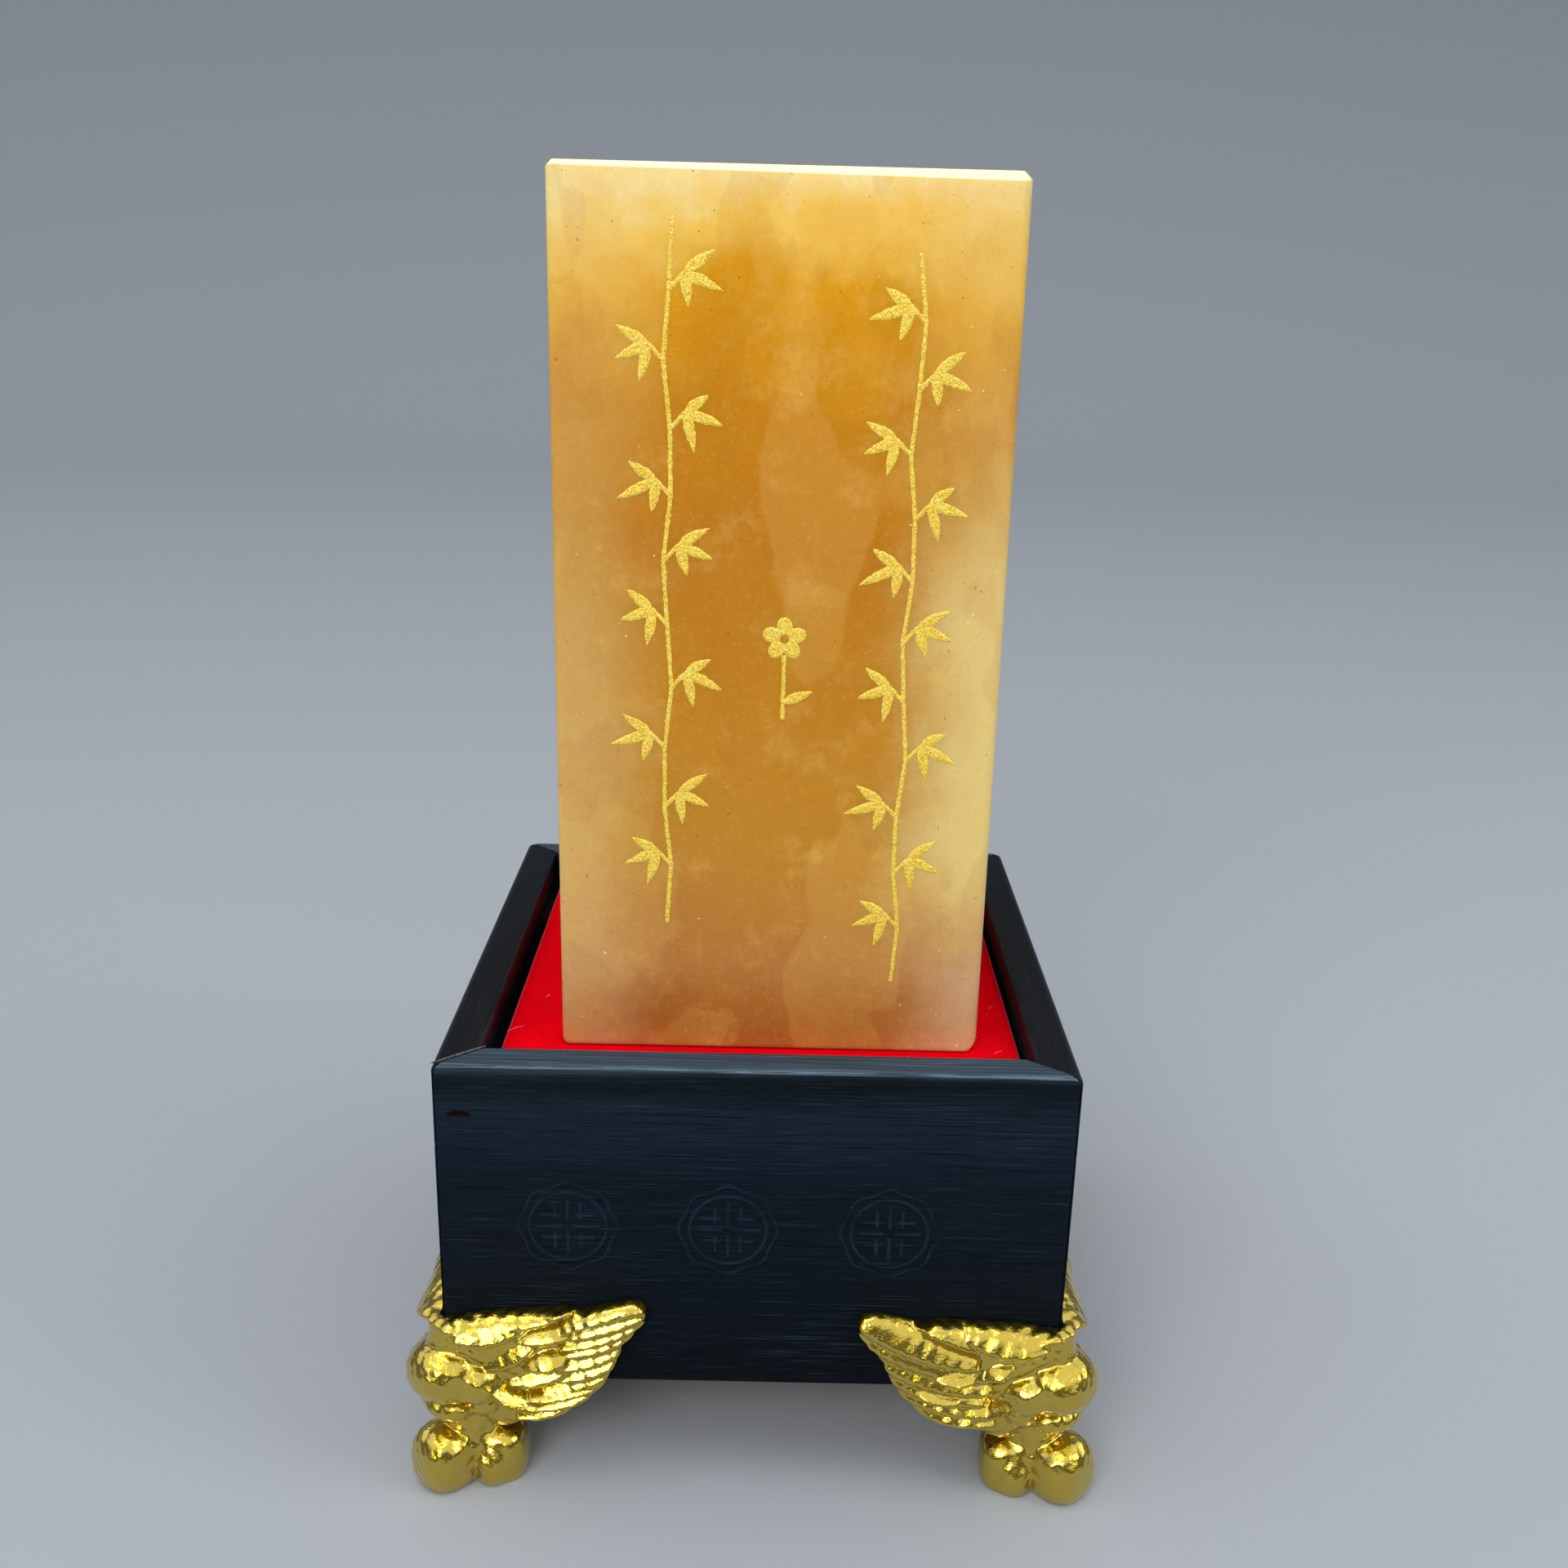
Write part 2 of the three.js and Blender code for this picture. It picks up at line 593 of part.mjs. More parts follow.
// Foot geometry moved to one corner of the base, mirrored where the corner needs it
function atCorner(geometry, corner) {
  const placed = geometry.clone()
    .scale(-corner.x, -corner.y, 1)
    .translate(corner.x * HALF, corner.y * HALF, 0);
  return corner.x * corner.y < 0 ? turnedInsideOut(placed) : placed;
}

function addFeet(group) {
  const foot = geometryOf(footSolid());
  const screw = geometryOf(screwSolid());
  for (const corner of CORNERS) {
    group.add(named(`${corner.name}_foot`, atCorner(foot, corner), materials.gold));
    const fastener = named(`${corner.name}_screw`, screw, materials.steel);
    fastener.position.set(corner.x * (HALF - SCREW_PLACE), corner.y * (HALF - SCREW_PLACE), 0);
    group.add(fastener);
  }
}

const seal = new THREE.Group();
addWalls(seal);
addFrame(seal);
addPlatform(seal);
addStamp(seal);
addFeet(seal);

export default seal;
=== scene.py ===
# Looks of a square stone seal stamp on its footed display base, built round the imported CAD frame.
# Sizes here are millimetres in the frame's axes, and meshes are scaled to metres when they are made.
import math
from itertools import product

import bmesh
import bpy
import numpy as np
from mathutils import Matrix, Vector


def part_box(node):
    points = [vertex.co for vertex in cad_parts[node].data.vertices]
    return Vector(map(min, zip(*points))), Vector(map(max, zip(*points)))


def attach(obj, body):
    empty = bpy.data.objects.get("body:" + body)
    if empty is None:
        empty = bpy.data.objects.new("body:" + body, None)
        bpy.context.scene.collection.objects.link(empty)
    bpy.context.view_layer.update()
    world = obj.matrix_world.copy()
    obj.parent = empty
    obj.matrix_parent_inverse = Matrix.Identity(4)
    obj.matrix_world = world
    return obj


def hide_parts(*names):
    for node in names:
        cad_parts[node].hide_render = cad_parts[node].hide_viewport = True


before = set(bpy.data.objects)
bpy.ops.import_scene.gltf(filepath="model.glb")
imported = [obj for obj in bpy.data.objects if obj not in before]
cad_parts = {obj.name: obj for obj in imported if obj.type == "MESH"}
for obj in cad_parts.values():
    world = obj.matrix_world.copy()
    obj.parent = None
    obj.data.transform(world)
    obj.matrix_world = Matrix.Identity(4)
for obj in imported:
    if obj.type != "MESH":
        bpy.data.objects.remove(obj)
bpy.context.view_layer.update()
MM = 0.001
FAR = 1e9
TINY = 1e-9
LEAST_SLOPE = 1e-6
LEAST_STEEPNESS = 0.05
SEEDS = {
    "gouges": 50, "splinter": 4, "lint": 8,
    "left_gilt_band": 11, "right_gilt_band": 23, "centre_gilt_motif": 37,
}


def box_mm(node):
    low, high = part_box(node)
    return np.array(low) / MM, np.array(high) / MM


# Places taken from the frame
WALL_LOW, WALL_HIGH = box_mm("front_wall")
HALF = WALL_HIGH[0]
UNDERSIDE = WALL_LOW[2]
RIM = WALL_HIGH[2]
WALL_HEIGHT = RIM - UNDERSIDE
WALL_THICKNESS = WALL_HIGH[1] - WALL_LOW[1]
FLOCK_LOW, FLOCK_HIGH = box_mm("platform_flock")
STAMP_LOW, STAMP_HIGH = box_mm("stamp_block")
STAMP_MIDDLE = (STAMP_LOW + STAMP_HIGH) / 2
STAMP_HALF = (STAMP_HIGH[0] - STAMP_LOW[0]) / 2
STAMP_HEIGHT = STAMP_HIGH[2] - STAMP_LOW[2]
CORNERS = {"front_left": (-1, -1), "front_right": (1, -1), "back_left": (-1, 1), "back_right": (1, 1)}

# Camera, solved from the photograph
CAMERA_PLACE = (0.96, -198.7, 142.2)
CAMERA_DOWN = 17.825
CAMERA_YAW = 0.426
CAMERA_ROLL = 1.417
CAMERA_LENS = 36.66


# Meshes


def make_piece(name, points, faces, body, material, node=None):
    """Smooth mesh from points in millimetres that rides on a body and may stand for a CAD node."""
    mesh = bpy.data.meshes.new(name)
    mesh.from_pydata([tuple(p) for p in np.asarray(points, float) * MM], [], [tuple(f) for f in faces])
    mesh.update()
    mesh.shade_smooth()
    mesh.materials.append(material)
    piece = bpy.data.objects.new(name, mesh)
    bpy.context.scene.collection.objects.link(piece)
    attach(piece, body)
    if node:
        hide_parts(node)
    return piece


def weigh_normals(piece):
    """Large flat faces keep their own normals, and only the eased edges between them are blended."""
    modifier = piece.modifiers.new("flat faces", "WEIGHTED_NORMAL")
    modifier.keep_sharp = True
    modifier.weight = 100


def turn_outward(piece):
    """Faces of a closed mesh all turned out."""
    bm = bmesh.new()
    bm.from_mesh(piece.data)
    bmesh.ops.recalc_face_normals(bm, faces=bm.faces)
    bm.to_mesh(piece.data)
    bm.free()


def loft_faces(rings, count, closed_ends=True):
    """Faces over rings of equal length, numbered ring by ring."""
    faces = []
    for ring in range(rings - 1):
        for i in range(count):
            near = ring * count + i
            following = ring * count + (i + 1) % count
            faces.append((near, following, following + count, near + count))
    if closed_ends:
        faces.append(tuple(reversed(range(count))))
        faces.append(tuple(range((rings - 1) * count, rings * count)))
    return faces


def arc(centre, radius, start, end, steps):
    """Points of an arc in a plane, angles in degrees."""
    turns = np.radians(np.linspace(start, end, steps + 1))
    return [(centre[0] + radius * math.cos(t), centre[1] + radius * math.sin(t)) for t in turns]


# Sampled solids: fields are signed distances in millimetres, negative inside


def soft_union(a, b, blend):
    """Union of two fields whose crease is filled over a blend distance."""
    overlap = np.maximum(blend - np.abs(a - b), 0) / blend
    return np.minimum(a, b) - overlap * overlap * blend / 4


def ellipsoid_field(offsets, radii, power):
    """Near distance to an ellipsoid from the offsets along its axes; a power above 2 makes it boxy."""
    near = sum(np.abs(o / r) ** power for o, r in zip(offsets, radii)) ** (1 / power)
    slope = np.sqrt(sum((np.abs(o / r) ** (power - 1) / r) ** 2 for o, r in zip(offsets, radii)))
    return near ** (power - 1) * (near - 1) / np.maximum(slope, LEAST_SLOPE)


def polygon_field(x, y, corners):
    """Signed distance in a plane to a closed polygon."""
    corners = np.asarray(corners, float)
    x, y = np.broadcast_arrays(x, y)
    distance = np.full(x.shape, FAR)
    inside = np.zeros(x.shape, bool)
    for (ax, ay), (bx, by) in zip(corners, np.roll(corners, -1, axis=0)):
        ex, ey = bx - ax, by - ay
        share = np.clip(((x - ax) * ex + (y - ay) * ey) / (ex * ex + ey * ey), 0, 1)
        distance = np.minimum(distance, np.hypot(x - ax - share * ex, y - ay - share * ey))
        crosses = (ay > y) != (by > y)
        level = ax + (y - ay) * ex / (ey if ey else TINY)
        inside ^= crosses & (x < level)
    return np.where(inside, -distance, distance)


def trilinear(grid, at):
    """Values of a sampled grid at fractional places."""
    low = np.clip(np.floor(at).astype(int), 0, np.array(grid.shape) - 2)
    share = at - low
    value = 0
    for corner in product((0, 1), repeat=3):
        weight = np.prod(np.where(corner, share, 1 - share), axis=1)
        value = value + weight * grid[tuple((low + corner).T)]
    return value


def surface_net(field, origin, step):
    """Points, quads and normals of the surface where a sampled field crosses zero."""
    inside = field < 0
    cells = np.array(field.shape) - 1
    count = np.zeros(cells, np.int8)
    for corner in product((0, 1), repeat=3):
        count += inside[tuple(slice(c, c + n) for c, n in zip(corner, cells))]
    active = np.argwhere((count > 0) & (count < 8))
    number = np.full(cells, -1, np.int64)
    number[tuple(active.T)] = np.arange(len(active))

    total = np.zeros((len(active), 3))
    crossings = np.zeros(len(active))
    for axis in range(3):
        others = [a for a in range(3) if a != axis]
        for sides in product((0, 1), repeat=2):
            start = np.zeros(3, int)
            start[others] = sides
            end = start.copy()
            end[axis] = 1
            a = field[tuple((active + start).T)]
            b = field[tuple((active + end).T)]
            crossed = (a < 0) != (b < 0)
            share = np.where(crossed, a / np.where(crossed, a - b, 1), 0)
            place = np.tile(start.astype(float), (len(active), 1))
            place[:, axis] = share
            total += place * crossed[:, None]
            crossings += crossed
    places = active + total / crossings[:, None]

    quads = []
    for axis in range(3):
        u, v = [a for a in range(3) if a != axis]
        lower = [slice(1, -1)] * 3
        upper = [slice(1, -1)] * 3
        lower[axis] = slice(0, -1)
        upper[axis] = slice(1, None)
        change = inside[tuple(lower)] != inside[tuple(upper)]
        edge = np.argwhere(change)
        leaves = inside[tuple(lower)][change]
        base = edge.copy()
        base[:, u] += 1
        base[:, v] += 1
        ring = []
        for du, dv in ((-1, -1), (0, -1), (0, 0), (-1, 0)):
            cell = base.copy()
            cell[:, u] += du
            cell[:, v] += dv
            ring.append(number[tuple(cell.T)])
        ring = np.stack(ring, axis=1)
        flip = leaves if axis == 1 else ~leaves
        ring[flip] = ring[flip][:, ::-1]
        quads.append(ring)

    slopes = [np.gradient(field, step, axis=axis) for axis in range(3)]
    for _ in range(2):
        value = trilinear(field, places)
        slope = np.stack([trilinear(s, places) for s in slopes], axis=1)
        steep = np.maximum((slope ** 2).sum(axis=1), LEAST_STEEPNESS)
        move = np.clip(-value / steep, -step / 2, step / 2)
        places = places + slope * (move / step)[:, None]
    slope = np.stack([trilinear(s, places) for s in slopes], axis=1)
    normals = slope / np.maximum(np.linalg.norm(slope, axis=1), TINY)[:, None]
    return np.asarray(origin) + places * step, np.concatenate(quads), normals


# Feet: places are measured from the base's corner, along the two walls, and up from the ground

FOOT_LOW = (-6.6, -6.6, -0.8)
FOOT_HIGH = (26.4, 26.4, 29.2)
FOOT_STEP = 0.2
LEG_BLEND = 0.35
FEATHER_BLEND = 0.12
PLATE_EDGE = 0.8
SHELF_REACH = 14
SHELF_INSET = 0.5
SHELF_ROOT = 1
SHELF_THICKNESS = 1.6
SHELF_CORNER = 4
SCREW_PLACE = WALL_THICKNESS + 5
SCREW_HOLE = 1.3

# Lobes on the corner's diagonal, and lobes with a twin on the other wall's side: their middle, three radii,
# the blend into what is there already, and a power that is 2 for an ellipsoid and more for a boxier form
MIDDLE_LOBES = [
    ((3.3, 3.3, 4.1), (5.0, 5.0, 4.4), 0.8, 2),
    ((1.0, 1.0, 10.9), (4.2, 4.0, 1.7), 0.6, 2),
    ((0.4, 0.4, 15.5), (5.0, 4.75, 3.8), 0.25, 2.2),
    ((2.4, 2.4, 19.8), (2.8, 2.8, 2.6), 0.6, 2),
    ((-0.2, -0.2, 3.1), (4.1, 3.9, 4.3), 0.4, 2.6),
]
TWIN_LOBES = [
    ((5.8, 1.5, 2.7), (3.7, 3.6, 4.1), 0.4, 2.8),
    ((5.4, -0.5, 2.1), (2.1, 2.4, 2.8), 0.5, 2.4),
    ((4.0, -1.2, 14.7), (3.0, 2.9, 2.6), 0.35, 2.3),
    ((6.2, -1.8, 14.8), (1.2, 1.1, 1.2), 0.15, 2),
    ((4.9, -1.2, 11.7), (1.9, 1.7, 1.7), 0.25, 2),
    ((1.4, -2.1, 11.0), (1.8, 1.5, 1.4), 0.3, 2),
    ((7.0, 0.0, 10.4), (3.0, 1.6, 3.0), 0.4, 2),
]
ANKLE = {"middle": 2.6, "radius": 4.0, "low": 5, "high": 16}
CORNER_BAND = {"radius": 1.6, "low": 17, "high": 22.8}
# Uneven skin: products of sine waves, each with its slopes along x, y and z and its shift
SKIN_WAVE = 0.03
SKIN_RIPPLES = [[(3.1, 0, 1.7, 0.6), (0, 2.6, -2.2, 0)], [(2.3, -3.9, 4.7, 0)]]
KNEE_WAVE = 0.1
KNEE_RIPPLES = [[(2.1, 1.3, 0, -0.4), (-0.8, 0, 1.9, 1.1), (0, 1.7, 0.9, 0)]]
KNEE_REACH = 7
KNEE_FADE = 3

# How far each casting leans over along the front or back wall, in degrees
FOOT_LEANS = {"front_left": -0.6, "front_right": 2.3, "back_left": 0.8, "back_right": -0.6}
LEAN_HEIGHT = 22

# Feathers on one wall: root, tip, bow of the line, half width, how far the crowns of both ends stand out
FEATHERS = [
    ((-0.8, 23.2), (2.6, 22.3), 0.1, 1.2, (2.4, 3.3)),
    ((2.5, 21.9), (9.8, 23.3), -0.6, 2.0, (4.2, 3.2)),
    ((8.2, 23.2), (14.8, 24.4), -0.2, 1.1, (3.2, 2.5)),
    ((12.6, 24.2), (15.8, 24.9), 0.1, 0.8, (2.9, 2.6)),
    ((14.4, 22.3), (23.9, 25.0), 0.45, 1.4, (3.0, 2.3)),
    ((14.9, 21.1), (24.3, 24.1), -0.2, 1.1, (2.6, 2.1)),
    ((14.4, 19.9), (23.9, 23.0), -0.5, 1.0, (2.8, 2.0)),
    ((14.6, 18.6), (22.9, 21.4), -0.5, 1.0, (2.4, 1.8)),
    ((9.4, 21.3), (15.0, 21.7), 0.1, 1.3, (3.5, 3.2)),
    ((5.4, 17.4), (10.4, 20.0), -0.3, 1.6, (3.1, 3.2)),
    ((10.4, 17.6), (14.3, 18.1), 0.1, 1.5, (3.5, 3.5)),
    ((8.6, 15.2), (14.8, 16.5), -0.4, 1.3, (3.1, 2.5)),
    ((13.8, 17.0), (21.3, 19.1), -0.3, 1.15, (2.8, 2.1)),
    ((13.4, 15.3), (20.9, 17.4), -0.4, 1.1, (2.6, 2.0)),
    ((12.4, 13.9), (20.1, 15.7), -0.4, 1.05, (2.5, 1.9)),
    ((10.6, 12.8), (19.3, 14.5), -0.2, 1.05, (3.3, 2.3)),
    ((10.7, 11.4), (18.3, 12.9), -0.3, 1.0, (2.9, 1.9)),
    ((9.0, 10.0), (16.8, 11.3), -0.4, 0.95, (2.7, 1.7)),
    ((5.8, 15.4), (11.2, 11.3), -0.5, 1.1, (4.6, 3.2)),
]
# The front right casting and the one across from it have fewer and broader feathers
BROAD_FEATHERS = [
    ((-0.8, 23.2), (3.4, 22.6), 0.1, 1.2, (2.4, 3.2)),
    ((2.8, 21.9), (11.0, 23.3), -0.6, 2.0, (4.2, 3.3)),
    ((10.2, 21.8), (16.8, 24.6), 0.2, 1.4, (3.6, 2.8)),
    ((10.8, 19.7), (24.2, 25.0), -0.5, 2.0, (3.9, 2.4)),
    ((7.6, 17.6), (24.5, 23.3), -1.1, 1.9, (3.2, 2.2)),
    ((9.0, 15.9), (23.2, 20.9), -1.2, 1.8, (3.4, 2.0)),
    ((11.0, 17.6), (15.0, 18.0), -0.1, 1.1, (3.9, 3.7)),
    ((9.6, 14.2), (21.6, 18.2), -0.9, 1.6, (3.2, 2.0)),
    ((12.6, 14.5), (17.4, 15.6), -0.2, 1.0, (3.6, 3.1)),
    ((8.2, 12.6), (20.2, 15.8), -0.8, 1.5, (3.4, 2.0)),
    ((8.4, 10.9), (18.4, 13.1), -0.6, 1.4, (3.0, 1.8)),
    ((6.4, 19.0), (9.0, 17.9), 0.0, 1.2, (3.4, 3.7)),
    ((5.8, 15.2), (10.6, 11.6), -0.4, 0.9, (4.3, 2.9)),
]
BROAD_WINGED = ("front_right", "back_left")
# Where a feather's crest runs across its width, from -1 to 1, how far its upper flank falls and curls down
CREST = -0.35
FLANK_FALL = 0.42
FLANK_CURL = 0.2
FEATHER_SAMPLES = 60
# Share of a feather's half width at its root, what the tip has more and what the middle has more
FEATHER_FULLNESS = (0.66, 0.06, 0.3)
CROWN_AT_ENDS = 0.86
WING_STEEPNESS = 1.3
WING_OUTLINE = [
    (-1, 9.6), (8, 8.9), (11.4, 9.0), (14.6, 10.1), (17.4, 12.1), (19.4, 14.4), (20.5, 16.4), (21.4, 18.4),
    (21.5, 19.2), (23.2, 21.4), (24.4, 23.0), (24.5, 24.6), (23.8, 25.4), (22.2, 25.6), (19.2, 24.9),
    (16.6, 24.1), (15.4, 24.7), (12.1, 24.4), (10.7, 24.3), (5.6, 23.9), (2.5, 23.3), (-1, 22.5),
]
# Thickness of the plate under the feathers, what it gains towards the corner, from where and over how far
PLATE = {"thin": 0.9, "gain": 0.4, "from": 15, "over": 8}
WING_SWELL = {"at": (6.5, 18.3), "radii": (8.5, 5.0), "rise": 0.9}


def feather_height(u, v, feather):
    """How far a bowed feather stands out: a long sloping upper flank and a steep lower edge."""
    root, tip, bow, half_width, crowns = feather
    root, tip = np.array(root, float), np.array(tip, float)
    chord = tip - root
    across = np.array([-chord[1], chord[0]]) / np.linalg.norm(chord)
    control = (root + tip) / 2 + across * 2 * bow
    share = np.linspace(0, 1, FEATHER_SAMPLES)[:, None]
    line = root * (1 - share) ** 2 + control * 2 * share * (1 - share) + tip * share ** 2
    tangent = np.gradient(line, axis=0)
    tangent /= np.linalg.norm(tangent, axis=1)[:, None]

    place = np.stack(np.broadcast_arrays(u, v), axis=-1)
    gaps = place[..., None, :] - line
    nearest = np.argmin((gaps ** 2).sum(axis=-1), axis=-1)
    gap = np.take_along_axis(gaps, nearest[..., None, None], axis=-2)[..., 0, :]
    way = tangent[nearest]
    side = way[..., 0] * gap[..., 1] - way[..., 1] * gap[..., 0]
    past = (way * gap).sum(axis=-1)
    past = np.where((nearest == 0) | (nearest == len(line) - 1), past, 0)

    along = nearest / (len(line) - 1)
    swell = 4 * along * (1 - along)
    at_root, tip_gain, middle_gain = FEATHER_FULLNESS
    half = half_width * (at_root + tip_gain * along + middle_gain * swell)
    crown = crowns[0] * (1 - along) + crowns[1] * along
    crown = crown * (CROWN_AT_ENDS + (1 - CROWN_AT_ENDS) * swell)
    side = side / half
    upper = np.clip((side - CREST) / (1 - CREST), 0, 1)
    lower = np.clip((CREST - side) / (1 + CREST), 0, 1)
    profile = (1 - FLANK_FALL * upper - FLANK_CURL * upper ** 4) * np.sqrt(1 - lower ** 2)
    profile = profile * np.sqrt(1 - np.clip(np.abs(past) / half, 0, 1) ** 2)
    return np.where(np.abs(side) < 1, crown * profile, 0)


def soft_corner(a, b):
    """Intersection of two fields with a rounded edge."""
    return -soft_union(-a, -b, PLATE_EDGE)


def wing_field(u, out, v, feathers):
    """Wing on one wall: a thin plate, a swell near the corner and the feathers laid over it."""
    away = ((u - WING_SWELL["at"][0]) / WING_SWELL["radii"][0]) ** 2
    away = away + ((v - WING_SWELL["at"][1]) / WING_SWELL["radii"][1]) ** 2
    height = PLATE["thin"] + PLATE["gain"] * np.clip((PLATE["from"] - u) / PLATE["over"], 0, 1)
    height = height + WING_SWELL["rise"] * np.sqrt(np.clip(1 - away, 0, 1))
    for feather in feathers:
        height = -soft_union(-height, -feather_height(u, v, feather), FEATHER_BLEND)
    outline = polygon_field(u, v, WING_OUTLINE)
    return np.maximum(soft_corner(outline, (out - height) / WING_STEEPNESS), -out)


def add_lobe(body, x, y, z, lobe, diagonal=False):
    """A lobe blended into the body, its first two radii along x and y or along and across the diagonal."""
    at, radii, blend, power = lobe
    dx, dy, dz = x - at[0], y - at[1], z - at[2]
    if diagonal:
        dx, dy = (dx + dy) / math.sqrt(2), (dy - dx) / math.sqrt(2)
    return soft_union(body, ellipsoid_field((dx, dy, dz), radii, power), blend)


def ripples(x, y, z, products):
    """Sum of products of sine waves."""
    total = 0
    for waves in products:
        value = 1
        for along_x, along_y, along_z, shift in waves:
            value = value * np.sin(along_x * x + along_y * y + along_z * z + shift)
        total = total + value
    return total


def foot_body(x, y, z, lean, feathers):
    """Paw, leg and two wings, all but one wing turned by a lean along x."""
    turn = math.radians(lean)
    wing = wing_field(y, -x, z, feathers)
    x, z = (
        x * math.cos(turn) - (z - LEAN_HEIGHT) * math.sin(turn),
        x * math.sin(turn) + (z - LEAN_HEIGHT) * math.cos(turn) + LEAN_HEIGHT,
    )
    ankle = np.hypot(x - ANKLE["middle"], y - ANKLE["middle"]) - ANKLE["radius"]
    body = np.maximum(ankle, np.maximum(ANKLE["low"] - z, z - ANKLE["high"]))
    band = soft_corner(np.hypot(x, y) - CORNER_BAND["radius"], z - CORNER_BAND["high"])
    body = soft_union(body, np.maximum(CORNER_BAND["low"] - z, band), LEG_BLEND)
    for lobe in MIDDLE_LOBES:
        body = add_lobe(body, x, y, z, lobe, diagonal=True)
    for lobe in TWIN_LOBES:
        body = add_lobe(body, x, y, z, lobe)
        body = add_lobe(body, y, x, z, lobe)
    body = soft_union(body, wing, LEG_BLEND)
    body = soft_union(body, wing_field(x, -y, z, feathers), LEG_BLEND)
    knee = np.clip((KNEE_REACH - np.maximum(x, y)) / KNEE_FADE, 0, 1)
    skin = SKIN_WAVE * ripples(x, y, z, SKIN_RIPPLES)
    return body + skin + KNEE_WAVE * ripples(x, y, z, KNEE_RIPPLES) * knee


def foot_field(x, y, z, lean, feathers):
    """The whole casting: paw, leg, two wings and the shelf under the floor, cut by base and ground."""
    body = foot_body(x, y, z, lean, feathers)
    shelf = np.maximum(np.maximum(x, y) - SHELF_REACH, np.maximum(SHELF_INSET - x, SHELF_INSET - y))
    shelf = np.maximum(shelf, (x + y - 2 * SHELF_REACH + SHELF_CORNER) / math.sqrt(2))
    shelf = np.maximum(shelf, UNDERSIDE - SHELF_THICKNESS - z)
    body = np.minimum(body, np.maximum(shelf, z - UNDERSIDE - SHELF_ROOT))
    hole = np.hypot(x - SCREW_PLACE, y - SCREW_PLACE) - SCREW_HOLE
    body = np.maximum(body, -hole)
    base = np.maximum(np.maximum(-x, -y), UNDERSIDE - z)
    return np.maximum(np.maximum(body, -base), -z)


def sampled(low, high, step, function):
    """Field of a function on a regular grid."""
    axes = [np.arange(a, b, step, dtype=float) for a, b in zip(low, high)]
    x, y, z = np.meshgrid(*axes, indexing="ij", sparse=True)
    return function(x, y, z)


def build_feet(gold):
    """Sculpted castings, one in each corner."""
    for name, (side, depth) in CORNERS.items():
        style = (FOOT_LEANS[name], BROAD_FEATHERS if name in BROAD_WINGED else FEATHERS)
        field = sampled(FOOT_LOW, FOOT_HIGH, FOOT_STEP, lambda x, y, z, s=style: foot_field(x, y, z, *s))
        points, quads, normals = surface_net(field, FOOT_LOW, FOOT_STEP)
        turn = np.array([-side, -depth, 1])
        placed = points * turn + np.array([side * HALF, depth * HALF, 0])
        faces = quads if side * depth > 0 else quads[:, ::-1]
        foot = make_piece(f"{name}_paw_casting", placed, faces, "base", gold, f"{name}_foot")
        foot.data.normals_split_custom_set_from_vertices((normals * turn).tolist())


# Walls: a section from the outer foot of the wall over the rounded rim to the inner foot

RIM_ROUNDING = 1.0
INNER_ROUNDING = 0.6
FOOT_ROUNDING = 0.4
RIM_STEPS = 8
INNER_STEPS = 6
FOOT_STEPS = 4
MITRE_GAP = 0.15
MITRE_EASE = 0.07
MITRE_RUN = 0.07
WALL_STEP = 0.22
# Distances from a wall's end of its closely set sections, and of the first evenly set one
CLOSE_RUNS = (0, 0.07, 0.16, 0.28, 0.42, 0.6, 0.85)
EVEN_RUN = 1.1
# Over how far the relief of the outer face fades in from its foot and its rim
FACE_FADE = 0.6
# How far along a wall its joint runs for each millimetre inward, at the left and right end of each wall
MITRE_SLANTS = [(1.2, 1.35), (0.74, 1.05), (0.95, 1.1), (0.91, 0.83)]
# Radius of the upright edge at the left and right end of each wall, seen from outside
EDGE_RADII = [(0.4, 0.5), (0.5, 1.3), (1.3, 1.2), (1.2, 0.4)]
WALL_NAMES = ["front_wall", "right_wall", "back_wall", "left_wall"]

# Faint pressed ornaments on every wall, their places from its middle and from the underside
MEDALLION_PLACES = [(-21.8, 21.4), (-3.1, 21.3), (15.8, 21.2)]
MEDALLION_RADIUS = 4.5
MEDALLION_LINE = 0.2
MEDALLION_RISE = 0.14
# Scalloped ring: distance outside the round one, depth and number of scallops, how much finer its line is
SCALLOPS = {"out": 1.1, "depth": 0.22, "count": 8, "finer": 0.05}
# Bars of the fret, crossed: distance from the axis that they run along, and where they start and end
FRET_BARS = [(0, 0.8, 3.5), (1.5, 1.0, 2.9)]
# Share of a pressed line that is left on average, and the slopes of the waves in which it is worn away
LEFT_OVER = 0.78
WEAR_SLOPES = (0.9, 0.7, 0.4)
LINE_EDGE = 0.4
SCORED_LEVELS = [31.5, 11.9]
SCORE = {"depth": 0.05, "half": 0.35, "sway": 0.12, "slope": 0.21}
GOUGES = 46
# Ranges of a gouge's place along the wall and up it, its half length, its half width and its depth
GOUGE_RANGES = [(-35, 35), (1, 40.5), (1.2, 6), (0.2, 0.34), (0.02, 0.07)]
GOUGE_SLOPE = 0.01
CHIP = {"at": (-34.0, 35.7), "half": (1.5, 0.45), "depth": 0.5}
# Slight waviness of each face: height, slopes along and up the wall, shift from wall to wall
WAVINESS = (0.04, 0.13, 0.17, 1.7)


